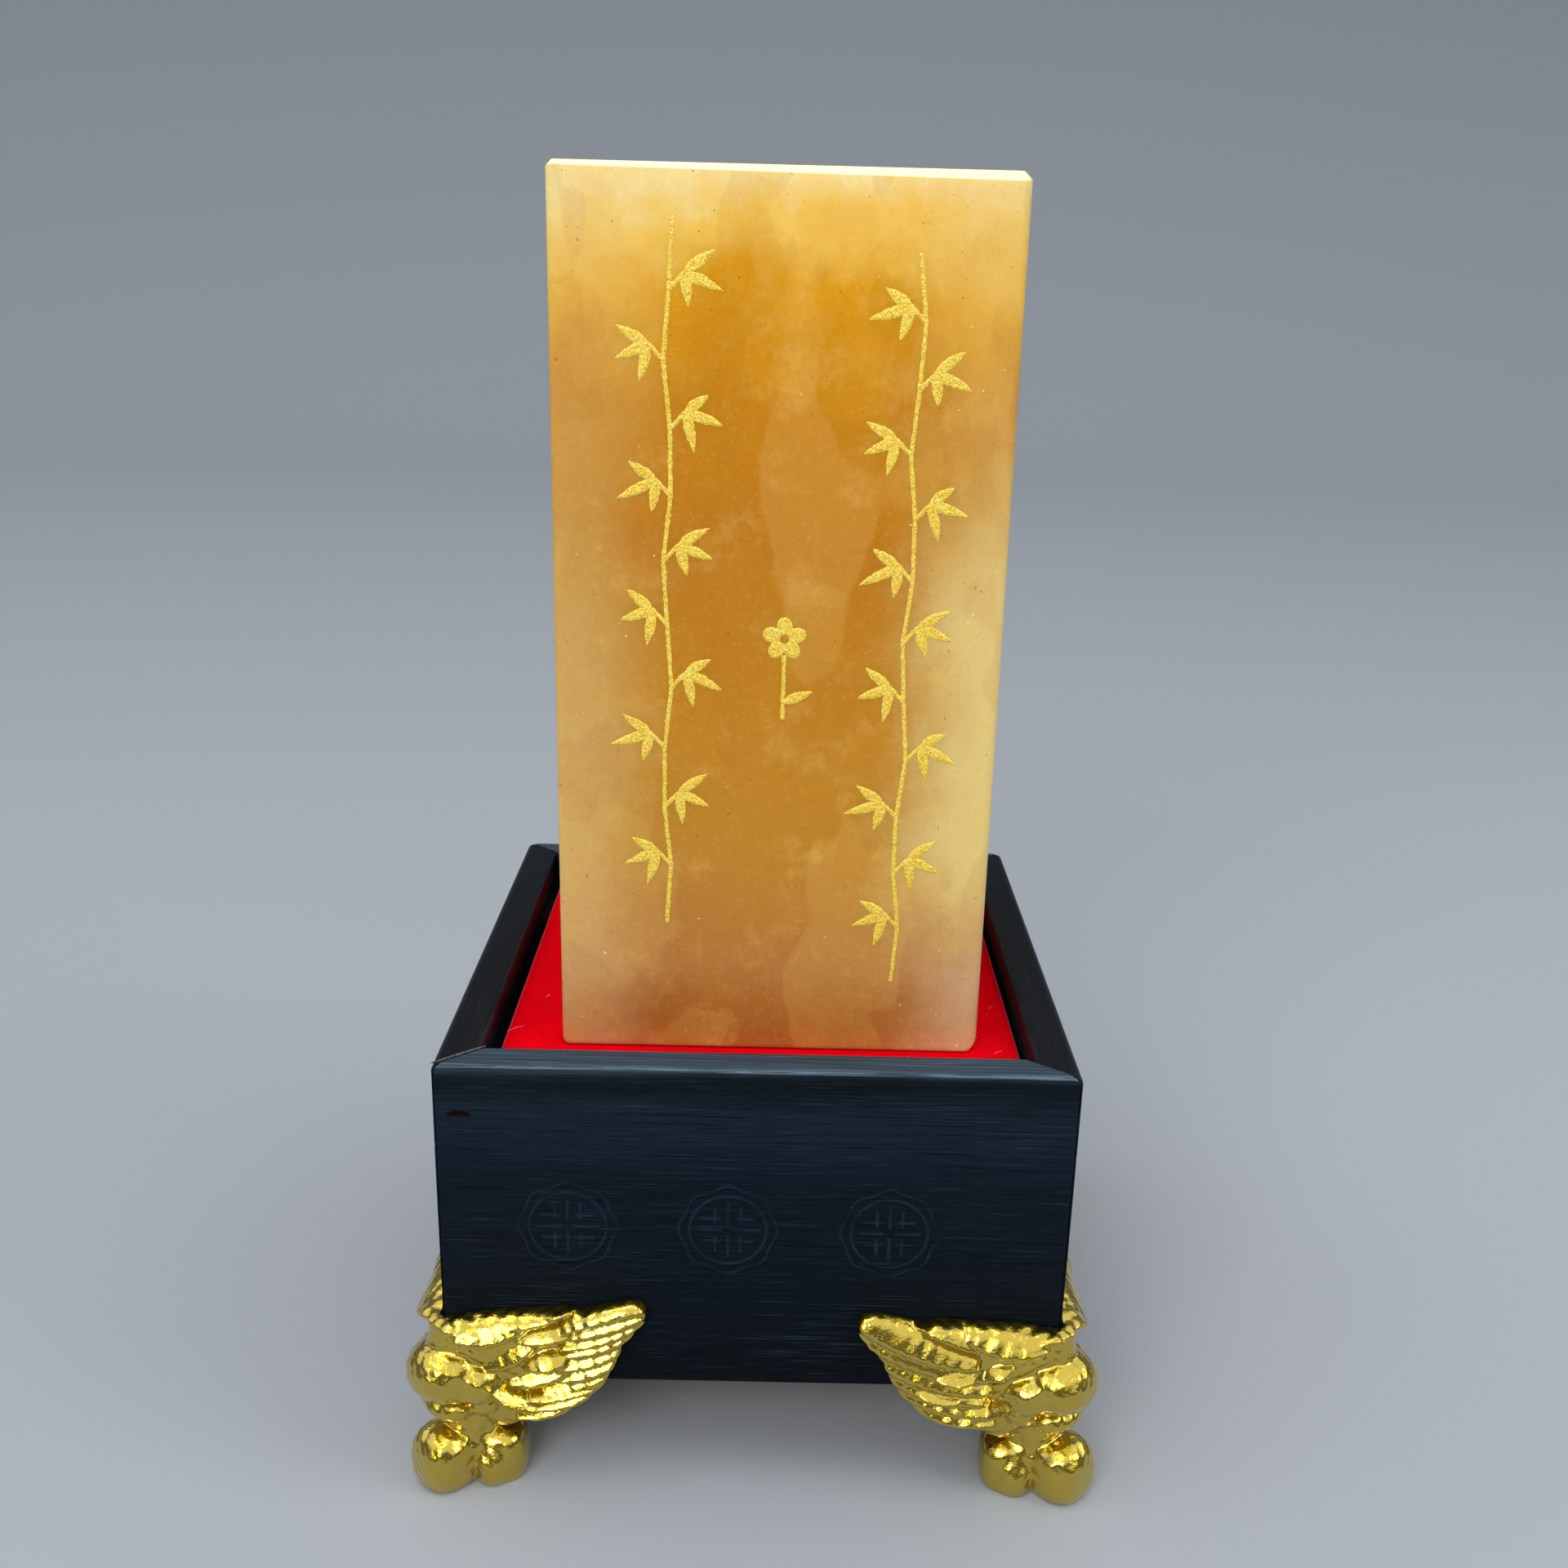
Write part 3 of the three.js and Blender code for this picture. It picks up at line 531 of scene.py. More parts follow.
def medallion_field(x, z):
    """Distance to the lines of a round fret with four equal quarters."""
    ax, az = np.abs(x), np.abs(z)
    radius = np.hypot(x, z)
    wave = np.cos(SCALLOPS["count"] * np.arctan2(z, x))
    scallops = np.abs(radius - MEDALLION_RADIUS - SCALLOPS["out"] - SCALLOPS["depth"] * wave)
    field = np.minimum(np.abs(radius - MEDALLION_RADIUS), scallops + SCALLOPS["finer"])
    for off, start, end in FRET_BARS:
        for across, along in ((ax, az), (az, ax)):
            past = np.maximum(along - end, start - along)
            field = np.minimum(field, np.maximum(np.abs(across - off), past))
    return field - MEDALLION_LINE


def raised_lines(x, up):
    """Share, from 0 to 1, by which a point of the outer face lies on a line of an ornament."""
    share = np.zeros(x.shape)
    for mx, mz in MEDALLION_PLACES:
        share += np.clip(-medallion_field(x - mx, up - mz) / MEDALLION_LINE + LINE_EDGE, 0, 1)
    a, b, c = WEAR_SLOPES
    return share * (LEFT_OVER + (1 - LEFT_OVER) * np.sin(a * x + b) * np.sin(b * up + c * x))


def dent(x, up, half):
    """Share, from 0 to 1, of the depth of a round-bottomed dent with its middle at the origin."""
    return np.clip(1 - (x / half[0]) ** 2 - (up / half[1]) ** 2, 0, 1)


def wall_relief(x, up, quarter):
    """How far the outer face stands out from its plane: ornaments, scored lines, gouges and a chip."""
    relief = MEDALLION_RISE * raised_lines(x, up)
    for level in SCORED_LEVELS:
        away = np.abs(up - level - SCORE["sway"] * np.sin(SCORE["slope"] * x))
        relief -= SCORE["depth"] * np.clip(1 - away / SCORE["half"], 0, 1)
    random = np.random.default_rng(SEEDS["gouges"] + quarter)
    for _ in range(GOUGES):
        gx, gz, length, width, depth = [random.uniform(*limits) for limits in GOUGE_RANGES]
        relief -= depth * dent(x - gx, up - gz - GOUGE_SLOPE * (x - gx), (length, width))
    if quarter == 0:
        relief -= CHIP["depth"] * dent(x - CHIP["at"][0], up - CHIP["at"][1], CHIP["half"])
    height, along, upward, shift = WAVINESS
    return relief + height * np.sin(along * x + shift * quarter) * np.sin(upward * up)


def wall_section(ease):
    """(inward, up) points of a wall's section, drawn in by an ease on all sides."""
    low, high = ease, WALL_HEIGHT - ease
    outer, inner = ease, WALL_THICKNESS - ease
    levels = np.linspace(low + FOOT_ROUNDING, high - RIM_ROUNDING, int(WALL_HEIGHT / WALL_STEP))
    section = arc((outer + FOOT_ROUNDING, low + FOOT_ROUNDING), FOOT_ROUNDING, 270, 180, FOOT_STEPS)
    section += [(outer, level) for level in levels[1:-1]]
    section += arc((outer + RIM_ROUNDING, high - RIM_ROUNDING), RIM_ROUNDING, 180, 90, RIM_STEPS)
    section += arc((inner - INNER_ROUNDING, high - INNER_ROUNDING), INNER_ROUNDING, 90, 0, INNER_STEPS)
    section += arc((inner - FOOT_ROUNDING, low + FOOT_ROUNDING), FOOT_ROUNDING, 0, -90, FOOT_STEPS)
    return np.array(section)


# Share of an edge's radius that lies on each of its two walls
EDGE_SHARE = 0.707


def edge_inset(distance, radius):
    """How far a round upright edge draws the outer face in, at a distance from the wall's end."""
    left = np.clip(radius * EDGE_SHARE - distance, 0, None)
    return radius - np.sqrt(np.maximum(radius ** 2 - left ** 2, 0))


def wall_points(quarter):
    """Points of a wall drawn as the front one, their share on raised lines, and how many a ring has."""
    plain, eased = wall_section(0), wall_section(MITRE_EASE)
    length = 2 * HALF
    close = np.array(CLOSE_RUNS)
    middle = np.linspace(EVEN_RUN, length - EVEN_RUN, int(length / WALL_STEP))
    runs = np.concatenate([close, middle, (length - close)[::-1]])
    slants, radii = MITRE_SLANTS[quarter], EDGE_RADII[quarter]
    rings, raised = [], []
    for ring in range(len(runs) + 2):
        at_end = ring in (0, len(runs) + 1)
        run = runs[min(max(ring - 1, 0), len(runs) - 1)]
        section = eased if at_end else plain
        inward, up = section[:, 0], section[:, 1]
        outwardness = 1 - inward / WALL_THICKNESS
        inward = inward + outwardness * (edge_inset(run, radii[0]) + edge_inset(length - run, radii[1]))
        slack = MITRE_GAP + (0 if at_end else MITRE_RUN)
        left = -(HALF - inward * slants[0] - slack)
        right = HALF - inward * slants[1] - slack
        x = left + (right - left) * run / length
        on_face = np.clip((up - FOOT_ROUNDING) / FACE_FADE, 0, 1)
        on_face = on_face * np.clip((WALL_HEIGHT - RIM_ROUNDING - up) / FACE_FADE, 0, 1)
        on_face = on_face * (section[:, 0] < FOOT_ROUNDING / 2) * (0 if at_end else 1)
        relief = wall_relief(x, up, quarter) * on_face
        rings.append(np.stack([x, inward - HALF - relief, UNDERSIDE + up], axis=1))
        raised.append(raised_lines(x, up) * on_face)
    return np.concatenate(rings), np.concatenate(raised), len(plain)


def build_walls(woods):
    """Four mitred walls with eased ends, so that each mitre shows as a fine joint line."""
    for quarter, name in enumerate(WALL_NAMES):
        points, raised, count = wall_points(quarter)
        turn = np.array(Matrix.Rotation(quarter * math.pi / 2, 3, "Z"))
        faces = loft_faces(len(points) // count, count)
        wood = woods[quarter % 2]
        wall = make_piece(f"{name}_panel", points @ turn.T, faces, "base", wood, name)
        wall.data.attributes.new("raised", "FLOAT", "POINT").data.foreach_set("value", raised)
        turn_outward(wall)
        weigh_normals(wall)


# Torn lip of veneer along one mitre: sections along it, points round each, its share of the mitre, its place
# off the joint, the way its width runs, half width, half height, how rough it is and how blunt its ends are
SPLINTER = {
    "stations": 46, "sides": 8, "from": 0.03, "to": 0.97, "off": (-0.16, 0.2, 0.02),
    "way": (-0.6, 0.8), "half": 0.17, "rise": 0.13, "rough": (0.65, 1.2), "blunt": 0.4,
}


def build_splinter(wood):
    """Curled lip of veneer along the open mitre at the front left."""
    stations, sides = SPLINTER["stations"], SPLINTER["sides"]
    rough = np.random.default_rng(SEEDS["splinter"]).uniform(*SPLINTER["rough"], (stations, sides))
    off, way = np.array(SPLINTER["off"]), SPLINTER["way"]
    points = []
    for i, share in enumerate(np.linspace(SPLINTER["from"], SPLINTER["to"], stations)):
        inward = share * WALL_THICKNESS
        taper = math.sin(math.pi * share) ** SPLINTER["blunt"]
        centre = np.array([inward * MITRE_SLANTS[0][0] - HALF, inward - HALF, RIM]) + off
        for side in range(sides):
            turn = 2 * math.pi * side / sides
            reach = SPLINTER["half"] * math.cos(turn)
            offset = np.array([way[0] * reach, way[1] * reach, SPLINTER["rise"] * math.sin(turn)])
            points.append(centre + offset * taper * rough[i, side])
    faces = loft_faces(stations, sides)
    turn_outward(make_piece("front_left_splinter", points, faces, "base", wood))


# Stamp block: rings of a square with round corners, and the carved sealing face

# Radii of the upright edges, from the front left one round to the back left one
STAMP_CORNERS = (0.85, 1.5, 1.2, 0.95)
# Roundings of the foot and widths of the ground chamfer at the top, on the left, right, front and back
STAMP_FOOT = (0.95, 1.8, 0.5, 0.8)
TOP_CHAMFERS = {"left": 0.7, "right": 0.85, "front": (0.5, 1.0), "back": 0.8}
TOP_EASE = 0.12
CORNER_STEPS = 6
FOOT_TURNS = 8
# How far the top is drawn in where the outline is straight, and what is left of a corner's radius there
FREE_INSET = 9.0
CORNER_REST = 0.08
# Outer and inner shares of the ease at the edges of the chamfer
EASE_SHARES = (0.4, 1.2)
SEAL_DEPTH = 1.2
SEAL_BORDER = 3
SEAL_LINE = 2.1
SEAL_CHANNEL = 2.1
SEAL_MARGIN = 2.1
# Places of the grid lines across a channel's wall, and half the width over which the wall falls
SEAL_WALL_LINES = (-0.09, -0.03, 0.03, 0.09)
SEAL_WALL_HALF = 0.06
SEAL_LEAST_GAP = 0.2


def seal_channels():
    """Corners of the square spiral channel in one quarter of the sealing face."""
    pitch = SEAL_LINE + SEAL_CHANNEL
    outer = SEAL_BORDER + SEAL_CHANNEL / 2 - STAMP_HALF
    inner = -(SEAL_LINE + SEAL_CHANNEL) / 2
    x0, y0, x1, y1 = outer, outer, inner, inner
    points = [(x0, y0)]
    while x1 - x0 > pitch:
        points += [(x1, y0), (x1, y1), (x0, y1), (x0, y0 + pitch)]
        x0, y0, x1, y1 = x0 + pitch, y0 + pitch, x1 - pitch, y1 - pitch
    points.append((x1, y0))
    return points


def channel_field(x, y):
    """Distance in the plane to the spiral channels of all four quarters."""
    points = np.array(seal_channels())
    distance = np.full(x.shape, FAR)
    for quarter in range(4):
        turn = np.array(Matrix.Rotation(quarter * math.pi / 2, 2))
        for a, b in zip(points[:-1] @ turn.T, points[1:] @ turn.T):
            low, high = np.minimum(a, b) - SEAL_CHANNEL / 2, np.maximum(a, b) + SEAL_CHANNEL / 2
            dx = np.maximum(low[0] - x, x - high[0])
            dy = np.maximum(low[1] - y, y - high[1])
            distance = np.minimum(distance, np.maximum(dx, dy))
    return distance


def seal_lines():
    """Grid lines of the sealing face, close together at the walls of the channels."""
    places = np.abs(np.array(seal_channels())).ravel()
    edges = np.unique(np.round(np.concatenate([places - SEAL_CHANNEL / 2, places + SEAL_CHANNEL / 2]), 4))
    edges = edges[edges < STAMP_HALF - SEAL_MARGIN - SEAL_LEAST_GAP]
    lines = np.concatenate([edges + shift for shift in SEAL_WALL_LINES] + [[STAMP_HALF - SEAL_MARGIN]])
    return np.unique(np.round(np.concatenate([lines, -lines]), 4))


def plan_ring(lines):
    """Outline of the block with outward directions and the free radius at each point."""
    share = (lines - lines[0]) / (lines[-1] - lines[0])
    points, outward, radius = [], [], []
    for quarter in range(4):
        here, following = STAMP_CORNERS[quarter], STAMP_CORNERS[(quarter + 1) % 4]
        turn = np.array(Matrix.Rotation(quarter * math.pi / 2, 2))
        start, end = -STAMP_HALF + here, STAMP_HALF - following
        for s in share:
            points.append(turn @ (start + (end - start) * s, -STAMP_HALF))
            outward.append(turn @ (0, -1))
            radius.append(FREE_INSET)
        for step in range(1, CORNER_STEPS):
            angle = math.radians(-90 + 90 * step / CORNER_STEPS)
            way = np.array([math.cos(angle), math.sin(angle)])
            centre = np.array([STAMP_HALF - following, following - STAMP_HALF])
            points.append(turn @ (centre + following * way))
            outward.append(turn @ way)
            radius.append(following - CORNER_REST)
    return np.array(points), np.array(outward), np.array(radius)


def stamp_rings(lines):
    """Rings of the block's skin from its foot to its top."""
    points, outward, radius = plan_ring(lines)
    along = points[:, 0] / (2 * STAMP_HALF) + 0.5
    left, right, front, back = STAMP_FOOT
    ways = [-outward[:, 0], outward[:, 0], -outward[:, 1], outward[:, 1]]
    weights = np.maximum(np.stack(ways), 0) ** 2
    foot = weights.T @ np.array([left, right, front, back])
    start, end = TOP_CHAMFERS["front"]
    chamfer = (
        TOP_CHAMFERS["left"] * weights[0] + TOP_CHAMFERS["right"] * weights[1]
        + (start * (1 - along) + end * along) * weights[2] + TOP_CHAMFERS["back"] * weights[3]
    )

    def ring(inset, level):
        place = points - outward * np.minimum(inset, radius)[:, None]
        return np.column_stack([place, np.broadcast_to(level, len(points))])

    rings = []
    for turn in np.radians(np.linspace(0, 90, FOOT_TURNS + 1)):
        level = max(STAMP_FOOT) * (1 - math.cos(turn))
        left_over = np.maximum(foot - level, 0)
        rings.append(ring(foot - np.sqrt(np.maximum(foot ** 2 - left_over ** 2, 0)), level))
    shoulder = STAMP_HEIGHT - chamfer
    outer, inner = (share * TOP_EASE for share in EASE_SHARES)
    rings.append(ring(np.zeros(len(points)), shoulder - TOP_EASE))
    rings.append(ring(np.full(len(points), outer), shoulder + outer))
    rings.append(ring(chamfer - outer, STAMP_HEIGHT - outer))
    rings.append(ring(chamfer + inner, STAMP_HEIGHT))
    return rings


def build_stamp(stone):
    """Stone block with eased edges, a ground chamfer round the top and a carved sealing face."""
    lines = seal_lines()
    many = len(lines)
    rings = stamp_rings(lines)
    count = len(rings[0])
    grid_x, grid_y = np.meshgrid(lines, lines, indexing="ij")
    share = np.clip((SEAL_WALL_HALF - channel_field(grid_x, grid_y)) / (2 * SEAL_WALL_HALF), 0, 1)
    depth = SEAL_DEPTH * share * share * (3 - 2 * share)
    seal = np.column_stack([grid_x.ravel(), grid_y.ravel(), depth.ravel()])
    first = count * len(rings)

    def grid_point(i, j):
        return first + i * many + j

    faces = loft_faces(len(rings), count, closed_ends=False)
    faces.append(tuple(range((len(rings) - 1) * count, len(rings) * count)))
    faces += [
        (grid_point(i, j), grid_point(i, j + 1), grid_point(i + 1, j + 1), grid_point(i + 1, j))
        for i in range(many - 1) for j in range(many - 1)
    ]
    last = many - 1
    border = []
    for side in range(4):
        for i in range(many):
            border.append(grid_point(*[(i, 0), (last, i), (last - i, last), (0, last - i)][side]))
        border += [border[-1]] * (CORNER_STEPS - 1)
    for i in range(count):
        following = (i + 1) % count
        corners = [following, i, border[i]]
        if border[following] != border[i]:
            corners.append(border[following])
        faces.append(tuple(corners))
    offset = np.array([STAMP_MIDDLE[0], STAMP_MIDDLE[1], STAMP_LOW[2]])
    points = np.concatenate(rings + [seal]) + offset
    stamp = make_piece("stamp_stone", points, faces, "stamp", stone, "stamp_block")
    turn_outward(stamp)
    weigh_normals(stamp)


# Platform: a flocked skin with a few lint hairs on it

FLOCK_STEP = 0.5
FLOCK_EASE = 0.3
# Height, width in samples and seed of two scales of unevenness, and how far the nap is pressed down
NAP = [(0.03, 3.0, 61), (0.02, 9.0, 62)]
NAP_PRESSED = 0.05
HAIR_RADIUS = 0.035
HAIR_END = 0.5
HAIR_SIDES = 5
HAIR_STEPS = 8
HAIR_LENGTHS = (0.5, 2.4)
HAIR_BENDS = (-0.9, 0.9)
HAIR_PLACES = [
    (-30.8, -21.7), (26.9, -20.8), (28.6, -25.0), (-27.5, -12.0), (29.3, -12.5), (-29.4, -27.6), (27.2, 3.0),
]


def build_flock(flock):
    """Slightly uneven flocked sheet, soft at its edges."""
    low, high = FLOCK_LOW, FLOCK_HIGH
    xs = np.linspace(low[0], high[0], int((high[0] - low[0]) / FLOCK_STEP) + 1)
    ys = np.linspace(low[1], high[1], int((high[1] - low[1]) / FLOCK_STEP) + 1)
    x, y = np.meshgrid(xs, ys, indexing="ij")
    away = np.minimum(np.minimum(x - low[0], high[0] - x), np.minimum(y - low[1], high[1] - y))
    nap = sum(height * smooth_noise(x.shape, cell, seed) for height, cell, seed in NAP) - NAP_PRESSED
    drop = FLOCK_EASE * (1 - np.sqrt(1 - np.clip(1 - away / FLOCK_EASE, 0, 1) ** 2))
    top = np.column_stack([x.ravel(), y.ravel(), (high[2] + nap - drop).ravel()])
    bottom = np.column_stack([x.ravel(), y.ravel(), np.full(x.size, low[2])])
    nx, ny = x.shape
    index = np.arange(nx * ny).reshape(nx, ny)
    quads = np.stack([index[:-1, :-1], index[1:, :-1], index[1:, 1:], index[:-1, 1:]], axis=-1).reshape(-1, 4)
    faces = [tuple(q) for q in quads]
    faces += [tuple(q[::-1] + nx * ny) for q in quads]
    rim = np.concatenate([index[:-1, 0], index[-1, :-1], index[:0:-1, -1], index[0, :0:-1]])
    for a, b in zip(rim, np.roll(rim, -1)):
        faces.append((b, a, a + nx * ny, b + nx * ny))
    points = np.concatenate([top, bottom])
    turn_outward(make_piece("platform_flock_skin", points, faces, "base", flock, "platform_flock"))


def build_lint(lint):
    """Short bent hairs lying on the flock."""
    random = np.random.default_rng(SEEDS["lint"])
    points, faces = [], []
    for sx, sy in HAIR_PLACES:
        turn = random.uniform(0, math.pi)
        length, bend = random.uniform(*HAIR_LENGTHS), random.uniform(*HAIR_BENDS)
        first = len(points)
        for i in range(HAIR_STEPS + 1):
            share = i / HAIR_STEPS
            angle = turn + bend * share
            px, py = sx + length * share * math.cos(angle), sy + length * share * math.sin(angle)
            across = angle + math.pi / 2
            thin = HAIR_RADIUS * (1 if 0 < i < HAIR_STEPS else HAIR_END)
            for side in range(HAIR_SIDES):
                way = 2 * math.pi * side / HAIR_SIDES
                reach = thin * math.cos(way)
                up = FLOCK_HIGH[2] + thin * math.sin(way)
                points.append((px + reach * math.cos(across), py + reach * math.sin(across), up))
        faces += [tuple(v + first for v in face) for face in loft_faces(HAIR_STEPS + 1, HAIR_SIDES)]
    turn_outward(make_piece("platform_lint", points, faces, "base", lint))


# Foot screws: turned pan heads with a slot, seen only from below

SCREW_HEAD = {"radius": 2.0, "height": 1.2, "crown": 0.35}
SCREW_EDGE = 0.3
SCREW_SHANK = {"radius": 1.0, "length": 9.5, "overlap": 0.2}
SCREW_SLOT = {"width": 0.6, "depth": 0.6}
# Room round a screw in its sampled grid
SCREW_ROOM = {"side": 0.3, "below": 1.5, "above": 0.5}
SCREW_STEP = 0.1
SCREW_TURNS = {"front_left": 20, "front_right": 75, "back_left": -35, "back_right": 50}


def screw_field(x, y, z, turn):
    """Screw whose head's underside is at z = 0, pointing up."""
    radius = np.hypot(x, y)
    dome = SCREW_HEAD["height"] - SCREW_HEAD["crown"] * (radius / SCREW_HEAD["radius"]) ** 2
    head = -soft_union(-(radius - SCREW_HEAD["radius"]), -(-z - dome), SCREW_EDGE)
    head = np.maximum(head, z)
    shank = np.maximum(-SCREW_SHANK["overlap"] - z, z - SCREW_SHANK["length"])
    shank = np.maximum(radius - SCREW_SHANK["radius"], shank)
    across = x * math.sin(turn) - y * math.cos(turn)
    floor = -(SCREW_HEAD["height"] - SCREW_SLOT["depth"])
    slot = np.maximum(np.abs(across) - SCREW_SLOT["width"] / 2, z - floor)
    return np.maximum(np.minimum(head, shank), -slot)


def build_screws(steel):
    """A screw in each casting's shelf."""
    reach = SCREW_HEAD["radius"] + SCREW_ROOM["side"]
    low = (-reach, -reach, -SCREW_ROOM["below"])
    high = (reach, reach, SCREW_SHANK["length"] + SCREW_ROOM["above"])
    for name, (side, depth) in CORNERS.items():
        turn = math.radians(SCREW_TURNS[name])
        field = sampled(low, high, SCREW_STEP, lambda x, y, z, t=turn: screw_field(x, y, z, t))
        points, quads, _ = surface_net(field, low, SCREW_STEP)
        off = HALF - SCREW_PLACE
        place = np.array([side * off, depth * off, UNDERSIDE - SHELF_THICKNESS])
        points = points + place
        weigh_normals(make_piece(f"{name}_pan_screw", points, quads, "base", steel, f"{name}_screw"))


# Gilt motifs on the front face, seen from its left bottom corner

LEFT_SPRAY = {"middle": 12.6, "bottom": 16.4, "height": 78, "clusters": 11}
RIGHT_SPRAY = {"middle": 39.2, "bottom": 9.4, "height": 82, "clusters": 12}
BLOSSOM = {"middle": 25.6, "bottom": 41.5}
STEM_WIDTH = 0.62
STEM_SWAY = 0.5
STEM_TURN = 1.9
TWIG_REACH = 1.3
TWIG_RISE = 1.7
LEAF_WIDTH = 1.25
LEAF_ANGLES = (-78, -22, 33)
LEAF_LENGTHS = (3.9, 4.4, 3.7)
LEAF_SWING = 5
SWING_TURN = 2.4
LEAF_STRETCH = 0.12
STRETCH_TURN = 1.7
PETALS = 5
PETAL_REACH = 2.6
PETAL_NOTCH = 0.4
BLOSSOM_STEM = 9
GILT_STEP = 0.09
GILT_PROUD = 0.07
GILT_ROOT = 0.25
# Height, width in millimetres and shift of the rough edge, height and width of the grain, width of the dome
GILT_EDGE = (0.05, 0.28, 0.03)
GILT_GRAIN = (0.03, 0.2)
GILT_DOME = 0.25
LEAF_BEND = 0.25
LEAF_FULL = (0.72, 0.8)
LEAF_ROUND = 0.04
BLOSSOM_EYE = 0.42
STEM_OVERLAP = 0.6
MOTIF_MARGIN = 6.5


def line_field(x, y, start, end, half):
    """Distance to a straight stroke with round ends."""
    ex, ey = end[0] - start[0], end[1] - start[1]
    share = np.clip(((x - start[0]) * ex + (y - start[1]) * ey) / (ex * ex + ey * ey), 0, 1)
    return np.hypot(x - start[0] - share * ex, y - start[1] - share * ey) - half


def leaf_field(x, y, fork, angle, length):
    """Distance to a pointed leaf that grows from a fork and bends a little."""
    dx, dy = x - fork[0], y - fork[1]
    along = dx * math.cos(angle) + dy * math.sin(angle)
    across = dy * math.cos(angle) - dx * math.sin(angle)
    share = np.clip(along / length, 0, 1)
    across = across - LEAF_BEND * share * (1 - share)
    half = LEAF_WIDTH / 2 * np.sin(np.pi * share ** LEAF_FULL[0]) ** LEAF_FULL[1]
    past = np.maximum(np.maximum(-along, along - length), 0)
    beside = np.abs(across) - half
    return np.hypot(np.maximum(beside, 0), past) - LEAF_ROUND + np.minimum(beside, 0)


def spray_parts(spray):
    """Strokes and leaves of a bamboo spray, in the front face's own plane."""
    pitch = spray["height"] / spray["clusters"]
    joints = []
    for i in range(spray["clusters"] + 1):
        joints.append((spray["middle"] + STEM_SWAY * math.sin(STEM_TURN * i), spray["bottom"] + i * pitch))
    strokes = list(zip(joints[:-1], joints[1:]))
    leaves = []
    for i in range(1, spray["clusters"]):
        side = 1 if i % 2 == 0 else -1
        fork = (joints[i][0] + side * (STEM_WIDTH / 2 + TWIG_REACH), joints[i][1] + TWIG_RISE)
        strokes.append((joints[i], fork))
        for leaf in range(len(LEAF_ANGLES)):
            angle = math.radians(LEAF_ANGLES[leaf] + LEAF_SWING * math.sin(SWING_TURN * i + leaf))
            length = LEAF_LENGTHS[leaf] * (1 + LEAF_STRETCH * math.sin(STRETCH_TURN * i + 2 * leaf))
            leaves.append((fork, angle if side > 0 else math.pi - angle, length))
    return strokes, leaves


def spray_field(x, y, spray):
    strokes, leaves = spray_parts(spray)
    field = np.full(np.broadcast(x, y).shape, FAR)
    for start, end in strokes:
        field = np.minimum(field, line_field(x, y, start, end, STEM_WIDTH / 2))
    for fork, angle, length in leaves:
        field = np.minimum(field, leaf_field(x, y, fork, angle, length))
    return field


def blossom_field(x, y, blossom):
    """Five-petalled blossom on a short stem with one leaf."""
    middle, bottom = blossom["middle"], blossom["bottom"]
    centre = (middle, bottom + BLOSSOM_STEM)
    dx, dy = x - centre[0], y - centre[1]
    turn = np.arctan2(dy, dx) + math.pi / 2
    reach = PETAL_REACH * (1 - PETAL_NOTCH * (1 - np.abs(np.sin(turn * PETALS / 2))))
    radius = np.hypot(dx, dy)
    petals = np.maximum(radius - reach, BLOSSOM_EYE - radius)
    stem_top = centre[1] - PETAL_REACH + STEM_OVERLAP
    stem = line_field(x, y, (middle, bottom), (middle, stem_top), STEM_WIDTH / 2)
    fork = (middle, bottom + TWIG_RISE)
    leaf = leaf_field(x, y, fork, math.radians(-LEAF_ANGLES[1]), LEAF_LENGTHS[2])
    return np.minimum(petals, np.minimum(stem, leaf))


def smooth_noise(shape, cell, seed):
    """Soft random field between -1 and 1 whose blobs are about so many samples wide."""
    random = np.random.default_rng(seed)
    coarse = random.uniform(-1, 1, [int(n / cell) + 3 for n in shape])
    at = [np.arange(n) / cell for n in shape]
    low = [a.astype(int) for a in at]
    share = [a - l for a, l in zip(at, low)]
    share = [s * s * (3 - 2 * s) for s in share]
    value = 0
    for corner in product((0, 1), repeat=2):
        weight = np.outer(*[s if c else 1 - s for s, c in zip(share, corner)])
        value = value + weight * coarse[np.ix_(low[0] + corner[0], low[1] + corner[1])]
    return value


def build_motif(name, low, high, flat_field, material):
    """Gilt fill of one motif: rough at its edges, domed and grainy in relief."""
    step, seed = GILT_STEP, SEEDS[name]
    xs = np.arange(low[0], high[0], step)
    zs = np.arange(low[1], high[1], step)
    x, z = np.meshgrid(xs, zs, indexing="ij")
    flat = flat_field(x, z)
    height, cell, shift = GILT_EDGE
    flat = flat + height * smooth_noise(flat.shape, cell / step, seed) + shift
    grain = GILT_GRAIN[0] * smooth_noise(flat.shape, GILT_GRAIN[1] / step, seed + 1)
    top = GILT_PROUD * np.clip(-flat / GILT_DOME, 0, 1) + grain
    outs = np.arange(-GILT_ROOT - step, GILT_PROUD + 3 * step, step)
    out = outs[None, :, None]
    field = np.maximum(flat[:, None, :], np.maximum(out - top[:, None, :], -GILT_ROOT - out))
    points, quads, _ = surface_net(field, (xs[0], outs[0], zs[0]), step)
    x, out, z = points.T
    placed = np.stack([x + STAMP_LOW[0], STAMP_LOW[1] - out, z + STAMP_LOW[2]], axis=1)
    make_piece(f"{name}_fill", placed, quads[:, ::-1], "stamp", material, name)


